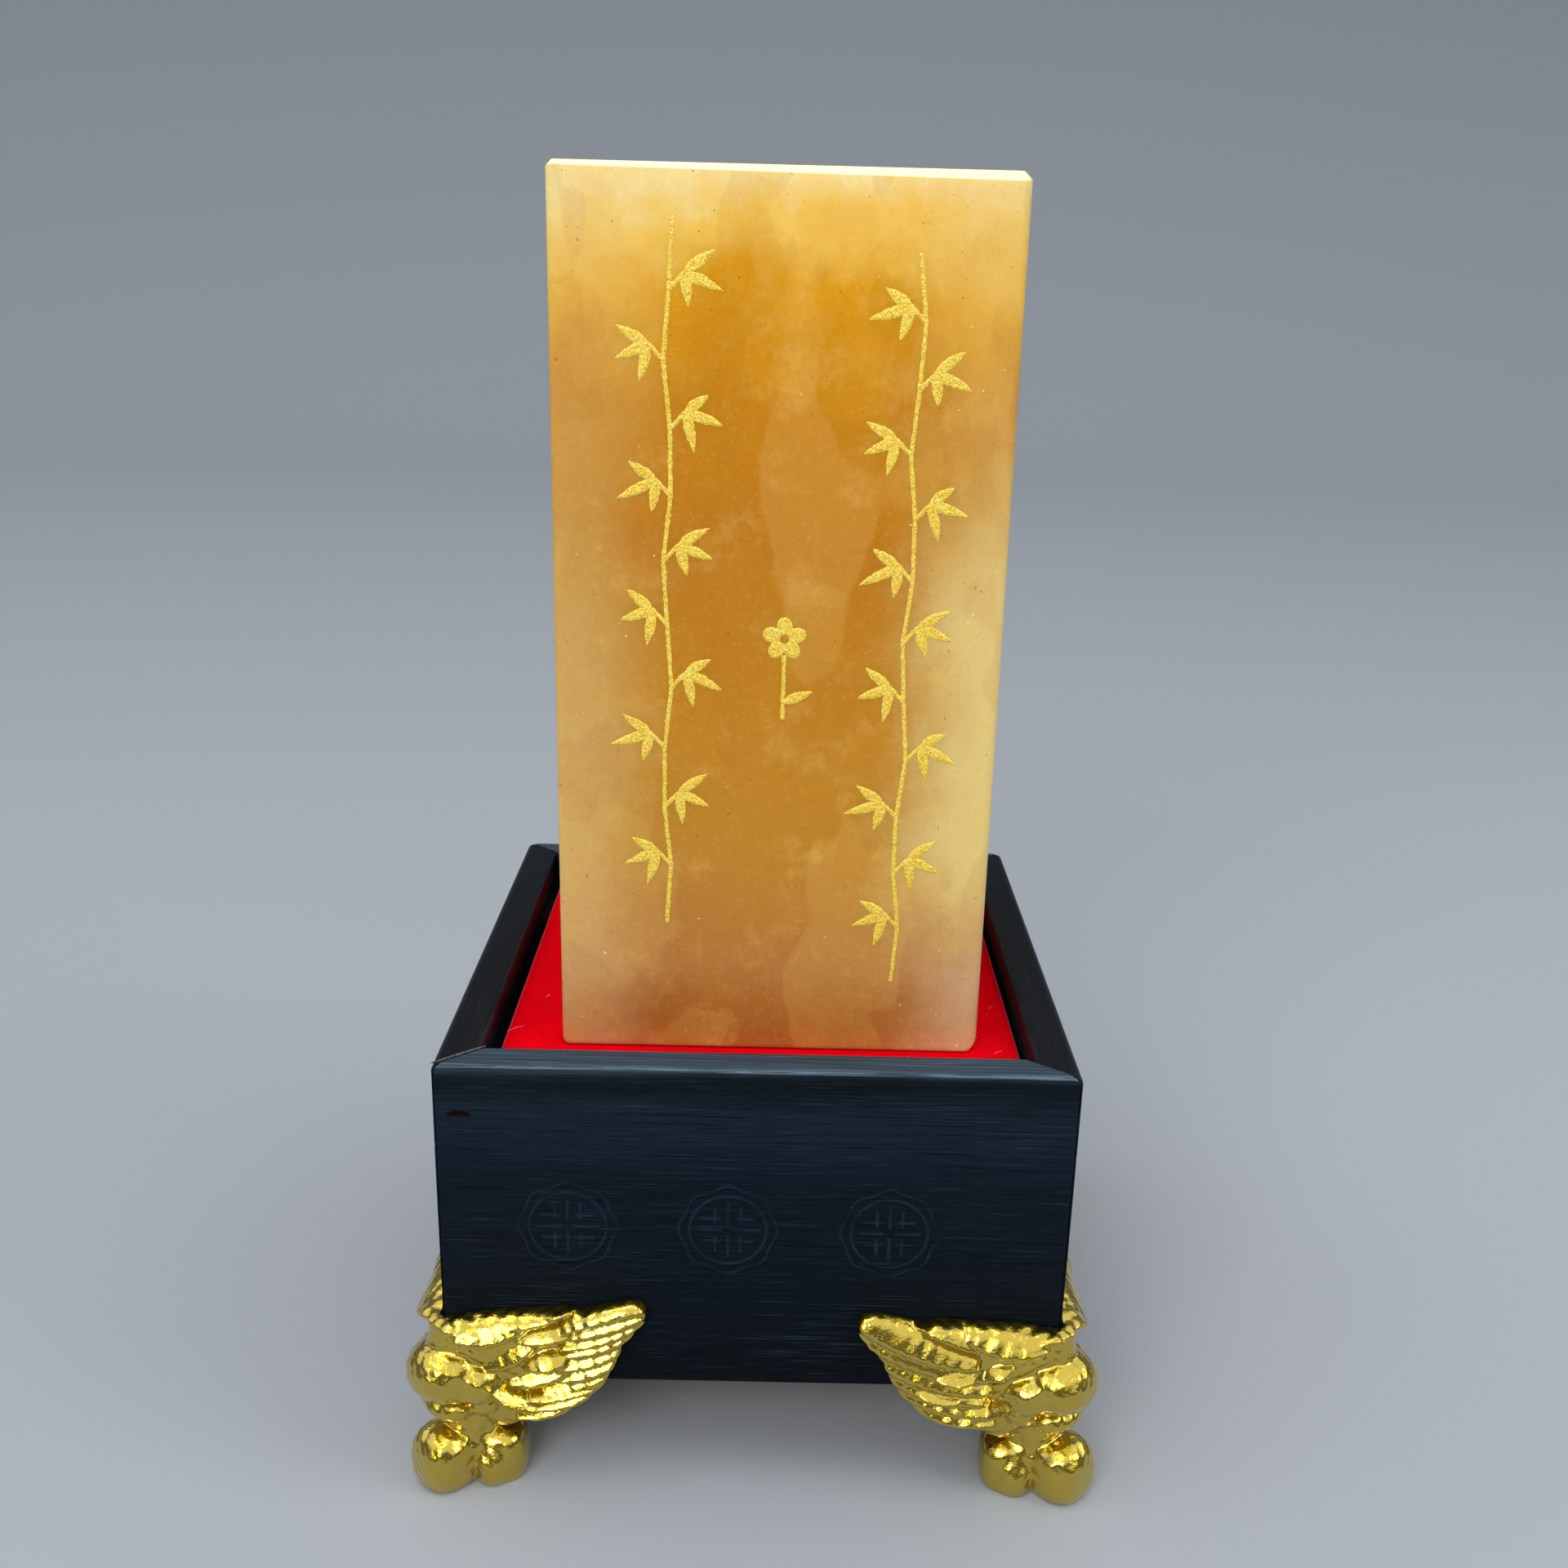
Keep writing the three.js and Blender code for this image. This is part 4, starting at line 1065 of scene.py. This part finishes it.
def build_motifs(gilt):
    for name, spray in (("left_gilt_band", LEFT_SPRAY), ("right_gilt_band", RIGHT_SPRAY)):
        low = (spray["middle"] - MOTIF_MARGIN, spray["bottom"] - 1)
        high = (spray["middle"] + MOTIF_MARGIN, spray["bottom"] + spray["height"] + 1)
        build_motif(name, low, high, lambda x, z, s=spray: spray_field(x, z, s), gilt)
    low = (BLOSSOM["middle"] - 4, BLOSSOM["bottom"] - 1)
    high = (BLOSSOM["middle"] + 5, BLOSSOM["bottom"] + BLOSSOM_STEM + PETAL_REACH + 1)
    build_motif("centre_gilt_motif", low, high, lambda x, z: blossom_field(x, z, BLOSSOM), gilt)


# Materials


def linear(*values):
    """Scene colour from 0-255 display values."""
    share = [v / 255 for v in values]
    return tuple(s / 12.92 if s <= 0.04045 else ((s + 0.055) / 1.055) ** 2.4 for s in share) + (1.0,)


class Paint:
    """A material's node tree, built by short calls."""

    def __init__(self, name):
        self.material = bpy.data.materials.new(name)
        self.material.use_nodes = True
        self.tree = self.material.node_tree
        self.shader = self.tree.nodes["Principled BSDF"]
        self.place = self.tree.nodes.new("ShaderNodeTexCoord").outputs["Object"]

    def feed(self, socket, value):
        if isinstance(value, bpy.types.NodeSocket):
            self.tree.links.new(value, socket)
        elif value is not None:
            socket.default_value = value

    def node(self, kind, inputs=None, **settings):
        node = self.tree.nodes.new(kind)
        for key, value in settings.items():
            setattr(node, key, value)
        for key, value in (inputs or {}).items():
            self.feed(node.inputs[key], value)
        return node

    def math(self, operation, a, b=None, c=None):
        node = self.node("ShaderNodeMath", operation=operation)
        for socket, value in zip(node.inputs, (a, b, c)):
            self.feed(socket, value)
        return node.outputs[0]

    def axes(self):
        """Object place in millimetres, as three sockets."""
        split = self.node("ShaderNodeSeparateXYZ", {0: self.place})
        return [self.math("MULTIPLY", split.outputs[i], 1 / MM) for i in range(3)]

    def facing_up(self):
        """1 on level faces that look up, 0 on upright ones."""
        normal = self.node("ShaderNodeNewGeometry").outputs["Normal"]
        return self.node("ShaderNodeSeparateXYZ", {0: normal}).outputs[2]

    def attribute(self, name):
        """A number stored at the points of the mesh, 0 where it has none."""
        return self.node("ShaderNodeAttribute", attribute_name=name).outputs["Fac"]

    def shifted(self, distance):
        """Object place moved by so many metres, for a second pattern of the same kind."""
        return self.node("ShaderNodeMapping", {"Vector": self.place, "Location": (distance,) * 3}).outputs[0]

    def noise(self, scale, detail=3, roughness=0.55, at=None, stretch=None):
        """Noise whose blobs are 1/scale metres wide."""
        place = self.place if at is None else at
        if stretch:
            place = self.node("ShaderNodeMapping", {"Vector": place, "Scale": stretch}).outputs[0]
        node = self.node(
            "ShaderNodeTexNoise",
            {"Vector": place, "Scale": scale, "Detail": detail, "Roughness": roughness},
        )
        return node.outputs["Fac"]

    def ramp(self, value, *stops):
        """Colours between stops, each a position and its 0-255 display values."""
        node = self.node("ShaderNodeValToRGB", {"Fac": value})
        elements = node.color_ramp.elements
        while len(elements) < len(stops):
            elements.new(0.5)
        for element, (position, colour) in zip(elements, stops):
            element.position = position
            element.color = linear(*colour)
        return node.outputs["Color"]

    def span(self, value, low, high, to_low=0.0, to_high=1.0):
        """Value moved from one range to another, held at both ends."""
        node = self.node(
            "ShaderNodeMapRange",
            {"Value": value, "From Min": low, "From Max": high, "To Min": to_low, "To Max": to_high},
        )
        node.interpolation_type = "SMOOTHSTEP"
        return node.outputs["Result"]

    def mix(self, share, a, b):
        node = self.node("ShaderNodeMix", data_type="RGBA")
        self.feed(node.inputs[0], share)
        self.feed(node.inputs[6], a)
        self.feed(node.inputs[7], b)
        return node.outputs[2]

    def over(self, colour, share, *tone):
        """A tone, in 0-255 display values, laid over a colour."""
        return self.mix(share, colour, linear(*tone))

    def bump(self, height, distance, normal=None):
        node = self.node("ShaderNodeBump", {"Height": height, "Distance": distance, "Strength": 1.0})
        if normal is not None:
            self.feed(node.inputs["Normal"], normal)
        return node.outputs["Normal"]

    def surface(self, **inputs):
        for key, value in inputs.items():
            self.feed(self.shader.inputs[key.replace("_", " ")], value)
        return self.material


def gold_casting():
    """Bright plated casting under clear lacquer, uneven in tone and gloss."""
    paint = Paint("gold plated casting")
    wave = paint.noise(420, 2)
    dents = paint.noise(1300, 2)
    pits = paint.noise(3600, 2)
    colour = paint.mix(paint.noise(260, 3), linear(216, 187, 24), linear(198, 165, 14))
    rough = paint.span(paint.noise(900, 4), 0.35, 0.75, 0.1, 0.24)
    normal = paint.bump(wave, 0.00016)
    normal = paint.bump(dents, 0.00008, normal)
    normal = paint.bump(pits, 0.00003, normal)
    return paint.surface(
        Base_Color=colour, Metallic=1.0, Roughness=rough, Normal=normal,
        Coat_Weight=1.0, Coat_Roughness=0.14, Coat_IOR=1.75,
    )


def gilt_paint():
    """Gold powder paint, grainy and bright."""
    paint = Paint("gilt paint")
    speckle = paint.noise(7000, 2)
    colour = paint.ramp(speckle, (0.32, (206, 146, 16)), (0.48, (252, 208, 46)), (0.66, (255, 242, 128)))
    normal = paint.bump(speckle, 0.00009)
    return paint.surface(Base_Color=colour, Metallic=0.1, Roughness=0.42, Normal=normal)


# Colours of the stone from foot to top, deep inside and towards its edges: the pale top stops are painted
# light passing through the top, and the paler edge colours are partly the stone's own tone and partly a
# painted glow of scattered light
STONE_CORE = [
    (0.0, (165, 97, 40)), (0.1, (188, 122, 54)), (0.26, (196, 134, 30)),
    (0.42, (199, 132, 13)), (0.62, (195, 123, 2)), (0.76, (204, 133, 4)),
    (0.87, (226, 157, 10)), (0.95, (247, 200, 88)), (1.0, (248, 222, 150)),
]
STONE_RIND_AND_GLOW = [
    (0.0, (196, 142, 92)), (0.1, (205, 156, 98)), (0.26, (210, 168, 94)),
    (0.42, (211, 168, 92)), (0.66, (202, 150, 66)), (0.78, (210, 154, 68)),
    (0.88, (234, 182, 74)), (0.96, (243, 208, 124)), (1.0, (244, 220, 150)),
]


def jade_stone():
    """Polished amber stone: deep in the middle, cloudy, brown towards its foot, its pale top painted light,
    its pale edges partly a painted glow, its chamfer a painted highlight.
    """
    paint = Paint("amber stone")
    x, y, z = paint.axes()
    height = paint.math("DIVIDE", paint.math("SUBTRACT", z, STAMP_LOW[2]), STAMP_HEIGHT)
    right = paint.math("SUBTRACT", x, STAMP_MIDDLE[0])
    sideways = paint.math("ABSOLUTE", right)
    deep = paint.math("ABSOLUTE", paint.math("SUBTRACT", y, STAMP_MIDDLE[1]))
    drift = paint.math("MULTIPLY_ADD", paint.noise(60, 5, 0.62), 0.24, -0.12)
    level = paint.math("ADD", height, drift)
    # Both ramps turn pale towards the top as painted light through the stone; the edge ramp is partly a
    # painted glow
    core = paint.ramp(level, *STONE_CORE)
    rind_and_glow = paint.ramp(level, *STONE_RIND_AND_GLOW)
    wobble = paint.math("MULTIPLY_ADD", paint.noise(80, 5, 0.62), 14, -7)
    edge = paint.math("ADD", paint.math("MINIMUM", sideways, deep), wobble)
    colour = paint.mix(paint.span(edge, STAMP_HALF - 15, STAMP_HALF), core, rind_and_glow)
    lower = paint.math("MULTIPLY", paint.span(level, 0.1, 0.26), paint.span(level, 0.76, 0.52))
    rightward = paint.math("ADD", right, wobble)
    cream = paint.math("MULTIPLY", lower, paint.span(rightward, 10, 23, 0, 0.85))
    colour = paint.over(colour, cream, 234, 208, 132)
    corner = paint.math("MULTIPLY", paint.span(level, 0.15, 0.06), paint.span(rightward, 15, 24, 0, 0.7))
    colour = paint.over(colour, corner, 216, 176, 136)
    veil = paint.span(paint.noise(130, 6, 0.7), 0.5, 0.72, 0, 0.34)
    colour = paint.over(colour, veil, 238, 190, 98)
    for scale, low, tone in ((70, 0.53, linear(246, 202, 104)), (115, 0.56, linear(180, 112, 20))):
        sheet = paint.noise(scale, 2, 0.5, at=paint.shifted(0.01 * scale), stretch=(1.0, 1.0, 0.55))
        colour = paint.mix(paint.span(sheet, low, low + 0.025, 0, 0.13), colour, tone)
    sugar = paint.noise(1900, 5, 0.72)
    colour = paint.over(colour, paint.span(sugar, 0.5, 0.8, 0, 0.2), 250, 214, 130)
    colour = paint.over(colour, paint.span(sugar, 0.48, 0.22, 0, 0.2), 166, 96, 20)
    fleck = paint.span(paint.noise(1700, 1), 0.76, 0.8, 0, 0.6)
    colour = paint.over(colour, fleck, 128, 84, 30)
    glint = paint.span(paint.noise(1500, 1, at=paint.shifted(0.31)), 0.79, 0.83, 0, 0.7)
    colour = paint.over(colour, glint, 255, 240, 190)
    up = paint.facing_up()
    # The sloping top chamfer is painted near white: a painted highlight of light from above
    ground = paint.math("MULTIPLY", paint.span(up, 0.3, 0.6), paint.span(up, 0.97, 0.85, 0, 0.75))
    colour = paint.over(colour, ground, 255, 247, 206)
    colour = paint.over(colour, paint.span(up, 0.9, 0.99, 0, 0.7), 206, 152, 66)
    rough = paint.span(paint.noise(240, 4), 0.35, 0.7, 0.17, 0.3)
    normal = paint.bump(paint.noise(900, 4, 0.6), 0.00005)
    return paint.surface(
        Base_Color=colour, Roughness=rough, Normal=normal, Specular_IOR_Level=0.3,
        Subsurface_Weight=0.3, Subsurface_Radius=(1.0, 0.55, 0.2), Subsurface_Scale=0.005,
    )


# Colours of a wall from foot to rim: painted shade towards the foot, a painted band of light below the rim,
# over the dark stain
WOOD_STAIN_AND_SHADE = [
    (0.0, (4, 9, 15)), (0.3, (5, 16, 26)), (0.62, (7, 20, 31)),
    (0.78, (17, 31, 44)), (0.88, (19, 33, 45)), (0.94, (8, 18, 28)),
    (0.97, (10, 20, 30)), (1.0, (34, 48, 60)),
]


def ebonised_wood(name, along):
    """Black stained wood: fine grain along one axis, unevenly stained, painted shade towards its foot and
    painted light below its rim, a painted sheen on its rim, ornament lines painted paler (partly wear, partly
    painted sheen), and a rim edge painted pale (partly wear, partly painted highlight).
    """
    paint = Paint(name)
    x, y, z = paint.axes()
    level_grain = along == "x"
    fine = (1.0, 60.0, 60.0) if level_grain else (60.0, 1.0, 60.0)
    grain = paint.noise(55, 5, 0.75, stretch=fine)
    streak = paint.noise(110, 3, 0.6, stretch=fine)
    broad = paint.noise(16, 4, 0.6, stretch=(1.0, 7.0, 7.0) if level_grain else (7.0, 1.0, 7.0))
    up = paint.facing_up()
    wobble = paint.math("MULTIPLY_ADD", broad, 5, -2.5)
    height = paint.math("SUBTRACT", paint.math("ADD", z, wobble), UNDERSIDE)
    # Painted shade towards the foot and painted light below the rim, made uneven like a stain by the wobble
    stain_and_shade = paint.ramp(paint.math("DIVIDE", height, WALL_HEIGHT), *WOOD_STAIN_AND_SHADE)
    colour = paint.mix(paint.span(grain, 0.52, 0.34, 0, 0.75), stain_and_shade, linear(0, 7, 14))
    colour = paint.over(colour, paint.span(grain, 0.54, 0.74, 0, 0.5), 34, 52, 66)
    colour = paint.over(colour, paint.span(streak, 0.6, 0.7, 0, 0.35), 52, 72, 88)
    colour = paint.over(colour, paint.span(streak, 0.38, 0.3, 0, 0.8), 0, 4, 10)
    # Ornament lines are painted paler: partly wear, partly a painted sheen
    raised = paint.attribute("raised")
    colour = paint.over(colour, paint.span(raised, 0.15, 0.9, 0, 0.4), 40, 60, 76)
    # Up-facing rims are painted paler: a painted sheen of reflected light, brighter on the walls whose grain
    # runs along X
    if level_grain:
        rim = paint.ramp(grain, (0.3, (30, 44, 54)), (0.5, (52, 68, 80)), (0.72, (84, 102, 116)))
        worn_and_lit_tone = linear(120, 142, 156)
    else:
        rim = paint.ramp(grain, (0.3, (13, 16, 19)), (0.55, (22, 26, 30)), (0.8, (36, 42, 46)))
        worn_and_lit_tone = linear(52, 60, 66)
    colour = paint.mix(paint.span(up, 0.45, 0.95), colour, rim)
    # The sloping rounding of the rim edge is painted pale in broken streaks: partly wear, partly a painted
    # highlight
    worn_and_lit = paint.math("MULTIPLY", paint.span(up, 0.55, 0.72), paint.span(up, 0.95, 0.84))
    worn_and_lit = paint.math("MULTIPLY", worn_and_lit, paint.span(streak, 0.42, 0.56, 0.05, 0.5))
    colour = paint.mix(worn_and_lit, colour, worn_and_lit_tone)
    if level_grain:
        dx = paint.math("DIVIDE", paint.math("SUBTRACT", x, CHIP["at"][0]), CHIP["half"][0])
        dz = paint.math("DIVIDE", paint.math("SUBTRACT", z, UNDERSIDE + CHIP["at"][1]), CHIP["half"][1])
        away = paint.math("ADD", paint.math("MULTIPLY", dx, dx), paint.math("MULTIPLY", dz, dz))
        chip = paint.math("MULTIPLY", paint.span(away, 1.1, 0.6), paint.span(y, 0, -HALF / 2))
        colour = paint.over(colour, chip, 22, 5, 3)
    rough = paint.span(grain, 0.3, 0.7, 0.38, 0.55)
    relief = paint.math("ADD", grain, paint.math("MULTIPLY", streak, 0.6))
    normal = paint.bump(relief, 0.00012)
    return paint.surface(Base_Color=colour, Roughness=rough, Normal=normal, Specular_IOR_Level=0.07)


def torn_veneer():
    """Raw torn edge of the black veneer."""
    paint = Paint("torn veneer")
    tone = paint.noise(2600, 3)
    colour = paint.ramp(tone, (0.35, (40, 42, 42)), (0.55, (84, 86, 82)), (0.75, (124, 122, 112)))
    return paint.surface(Base_Color=colour, Roughness=0.8, Normal=paint.bump(tone, 0.0001))


def red_flock():
    """Saturated red flock with short fibres and a painted highlight along its cut edge."""
    paint = Paint("red flock")
    x, y, _ = paint.axes()
    fibre = paint.noise(6500, 3)
    patch = paint.noise(140, 4, 0.6)
    colour = paint.ramp(fibre, (0.35, (214, 0, 12)), (0.58, (243, 0, 20)), (0.8, (255, 16, 40)))
    colour = paint.over(colour, paint.span(patch, 0.4, 0.68, 0.35, 0), 196, 0, 16)
    across = paint.math("ABSOLUTE", paint.math("SUBTRACT", x, (FLOCK_LOW[0] + FLOCK_HIGH[0]) / 2))
    reach = (FLOCK_HIGH[0] - FLOCK_LOW[0]) / 2
    away = paint.math("MAXIMUM", across, paint.math("ABSOLUTE", y))
    # A thin band along the sheet's edge is painted pale pink: a painted highlight where the edge catches the
    # light
    cut = paint.span(away, reach - 0.4, reach - 0.15, 0, 0.5)
    colour = paint.over(colour, cut, 255, 84, 104)
    dust = paint.span(paint.noise(1400, 1), 0.78, 0.81, 0, 0.5)
    colour = paint.over(colour, dust, 250, 130, 140)
    normal = paint.bump(fibre, 0.00012)
    return paint.surface(Base_Color=colour, Roughness=0.95, Normal=normal, Specular_IOR_Level=0.02)


def pale_lint():
    """Pale pink lint."""
    paint = Paint("pale lint")
    colour = paint.ramp(paint.noise(900, 2), (0.4, (240, 110, 120)), (0.6, (250, 190, 190)))
    return paint.surface(Base_Color=colour, Roughness=0.8)


def raw_wood():
    """Pale plywood with soft grain along X."""
    paint = Paint("raw plywood")
    grain = paint.noise(70, 4, 0.6, stretch=(1.0, 14.0, 14.0))
    colour = paint.ramp(grain, (0.3, (150, 112, 68)), (0.55, (188, 150, 100)), (0.8, (208, 176, 128)))
    return paint.surface(Base_Color=colour, Roughness=0.75, Normal=paint.bump(grain, 0.0001))


def plain_steel():
    """Zinc plated screws, uneven in tone and roughness."""
    paint = Paint("zinc plated steel")
    tone = paint.noise(1500, 3)
    colour = paint.ramp(tone, (0.35, (150, 150, 146)), (0.7, (198, 198, 192)))
    rough = paint.span(tone, 0.3, 0.7, 0.28, 0.42)
    return paint.surface(Base_Color=colour, Metallic=1.0, Roughness=rough)


def dress_kept_nodes(ebony, wood):
    """CAD nodes that stay get their finish."""
    for name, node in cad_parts.items():
        # The ledgers and the platform board take the black wood so that the gap round the flock shows dark:
        # painted shade on plywood parts
        if name.endswith(("_ledger", "_board")):
            finish = ebony
        elif name.endswith(("_post", "floor_panel")):
            finish = wood
        else:
            continue
        node.data.materials.clear()
        node.data.materials.append(finish)


# Studio: lamps in metres, with their place, size, power and colour

LAMP_AIM = (0, 0, 0.08)
LAMPS = {
    "overhead": ((-0.15, -0.1, 0.8), (0.5, 0.4), 1.2, (1.0, 0.99, 0.97)),
    "front": ((-0.3, -0.8, 0.55), (0.5, 0.4), 4.2, (0.98, 0.99, 1.0)),
    "right": ((0.6, -0.2, 0.45), (0.3, 0.4), 1.2, (1.0, 0.98, 0.95)),
}
# Floor and backdrop in metres: stations of the flat part, where it bends up, how far up and to each side
SWEEP = {"flat": (-3.0, -0.5, 0.5), "bend": 1.0, "radius": 0.7, "steps": 16, "top": 2.2, "reach": 3.0}
# Sky: heights of its dim and its bright part on a scale where 0 is level, and their colours
SKY_STOPS = [(0.33, (0.14, 0.142, 0.15, 1)), (0.5, (0.93, 0.97, 1.0, 1))]
SKY_STRENGTH = 1.1


def build_camera():
    down, yaw, roll = (math.radians(a) for a in (CAMERA_DOWN, CAMERA_YAW, CAMERA_ROLL))
    ahead = Vector((math.sin(yaw) * math.cos(down), math.cos(yaw) * math.cos(down), -math.sin(down)))
    right = Vector((math.cos(yaw), -math.sin(yaw), 0))
    up = right.cross(ahead)
    across = right * math.cos(roll) + up * math.sin(roll)
    upright = up * math.cos(roll) - right * math.sin(roll)
    data = bpy.data.cameras.new("camera")
    data.lens = CAMERA_LENS
    data.sensor_width = 36
    data.clip_start = 0.01
    camera = bpy.data.objects.new("camera", data)
    turn = Matrix((across, upright, -ahead)).transposed().to_4x4()
    camera.matrix_world = Matrix.Translation(Vector(CAMERA_PLACE) * MM) @ turn
    bpy.context.scene.collection.objects.link(camera)
    bpy.context.scene.camera = camera


def build_lamps():
    for name, (place, size, power, colour) in LAMPS.items():
        data = bpy.data.lights.new(name, "AREA")
        data.shape = "RECTANGLE"
        data.size, data.size_y = size
        data.energy = power
        data.color = colour
        lamp = bpy.data.objects.new(name, data)
        lamp.location = place
        lamp.rotation_euler = (Vector(LAMP_AIM) - Vector(place)).to_track_quat("-Z", "Y").to_euler()
        bpy.context.scene.collection.objects.link(lamp)


def build_backdrop():
    """Pale floor that sweeps up behind the object in one curve."""
    radius = SWEEP["radius"]
    line = [(y, 0) for y in SWEEP["flat"]]
    line += arc((SWEEP["bend"], radius), radius, -90, 0, SWEEP["steps"])
    line.append((SWEEP["bend"] + radius, SWEEP["top"]))
    points = [(side * SWEEP["reach"], y, z) for side in (-1, 1) for y, z in line]
    count = len(line)
    faces = [(i + 1, i, i + count, i + count + 1) for i in range(count - 1)]
    mesh = bpy.data.meshes.new("backdrop")
    mesh.from_pydata(points, [], faces)
    mesh.shade_smooth()
    backdrop = bpy.data.objects.new("backdrop", mesh)
    bpy.context.scene.collection.objects.link(backdrop)
    paint = Paint("pale grey backdrop")
    grey = linear(160, 164, 170)
    mesh.materials.append(paint.surface(Base_Color=grey, Roughness=0.85, Specular_IOR_Level=0.1))


def build_sky():
    """Bright above and dim towards the horizon, so that metal shows light and dark."""
    world = bpy.data.worlds.new("studio")
    world.use_nodes = True
    tree = world.node_tree
    coordinates = tree.nodes.new("ShaderNodeTexCoord")
    split = tree.nodes.new("ShaderNodeSeparateXYZ")
    ramp = tree.nodes.new("ShaderNodeValToRGB")
    tree.links.new(coordinates.outputs["Generated"], split.inputs[0])
    tree.links.new(split.outputs["Z"], ramp.inputs["Fac"])
    tree.links.new(ramp.outputs["Color"], tree.nodes["Background"].inputs["Color"])
    for element, (position, colour) in zip(ramp.color_ramp.elements, SKY_STOPS):
        element.position = position
        element.color = colour
    tree.nodes["Background"].inputs["Strength"].default_value = SKY_STRENGTH
    bpy.context.scene.world = world


def build_studio():
    """Plain pale sweep, soft lamps above and in front."""
    bpy.context.scene.view_settings.view_transform = "Standard"
    build_backdrop()
    build_sky()
    build_lamps()


build_studio()
build_camera()
build_feet(gold_casting())
woods = [ebonised_wood(f"ebonised wood, grain along {axis.upper()}", axis) for axis in "xy"]
build_walls(woods)
build_splinter(torn_veneer())
build_stamp(jade_stone())
build_motifs(gilt_paint())
build_flock(red_flock())
build_lint(pale_lint())
build_screws(plain_steel())
dress_kept_nodes(woods[0], raw_wood())
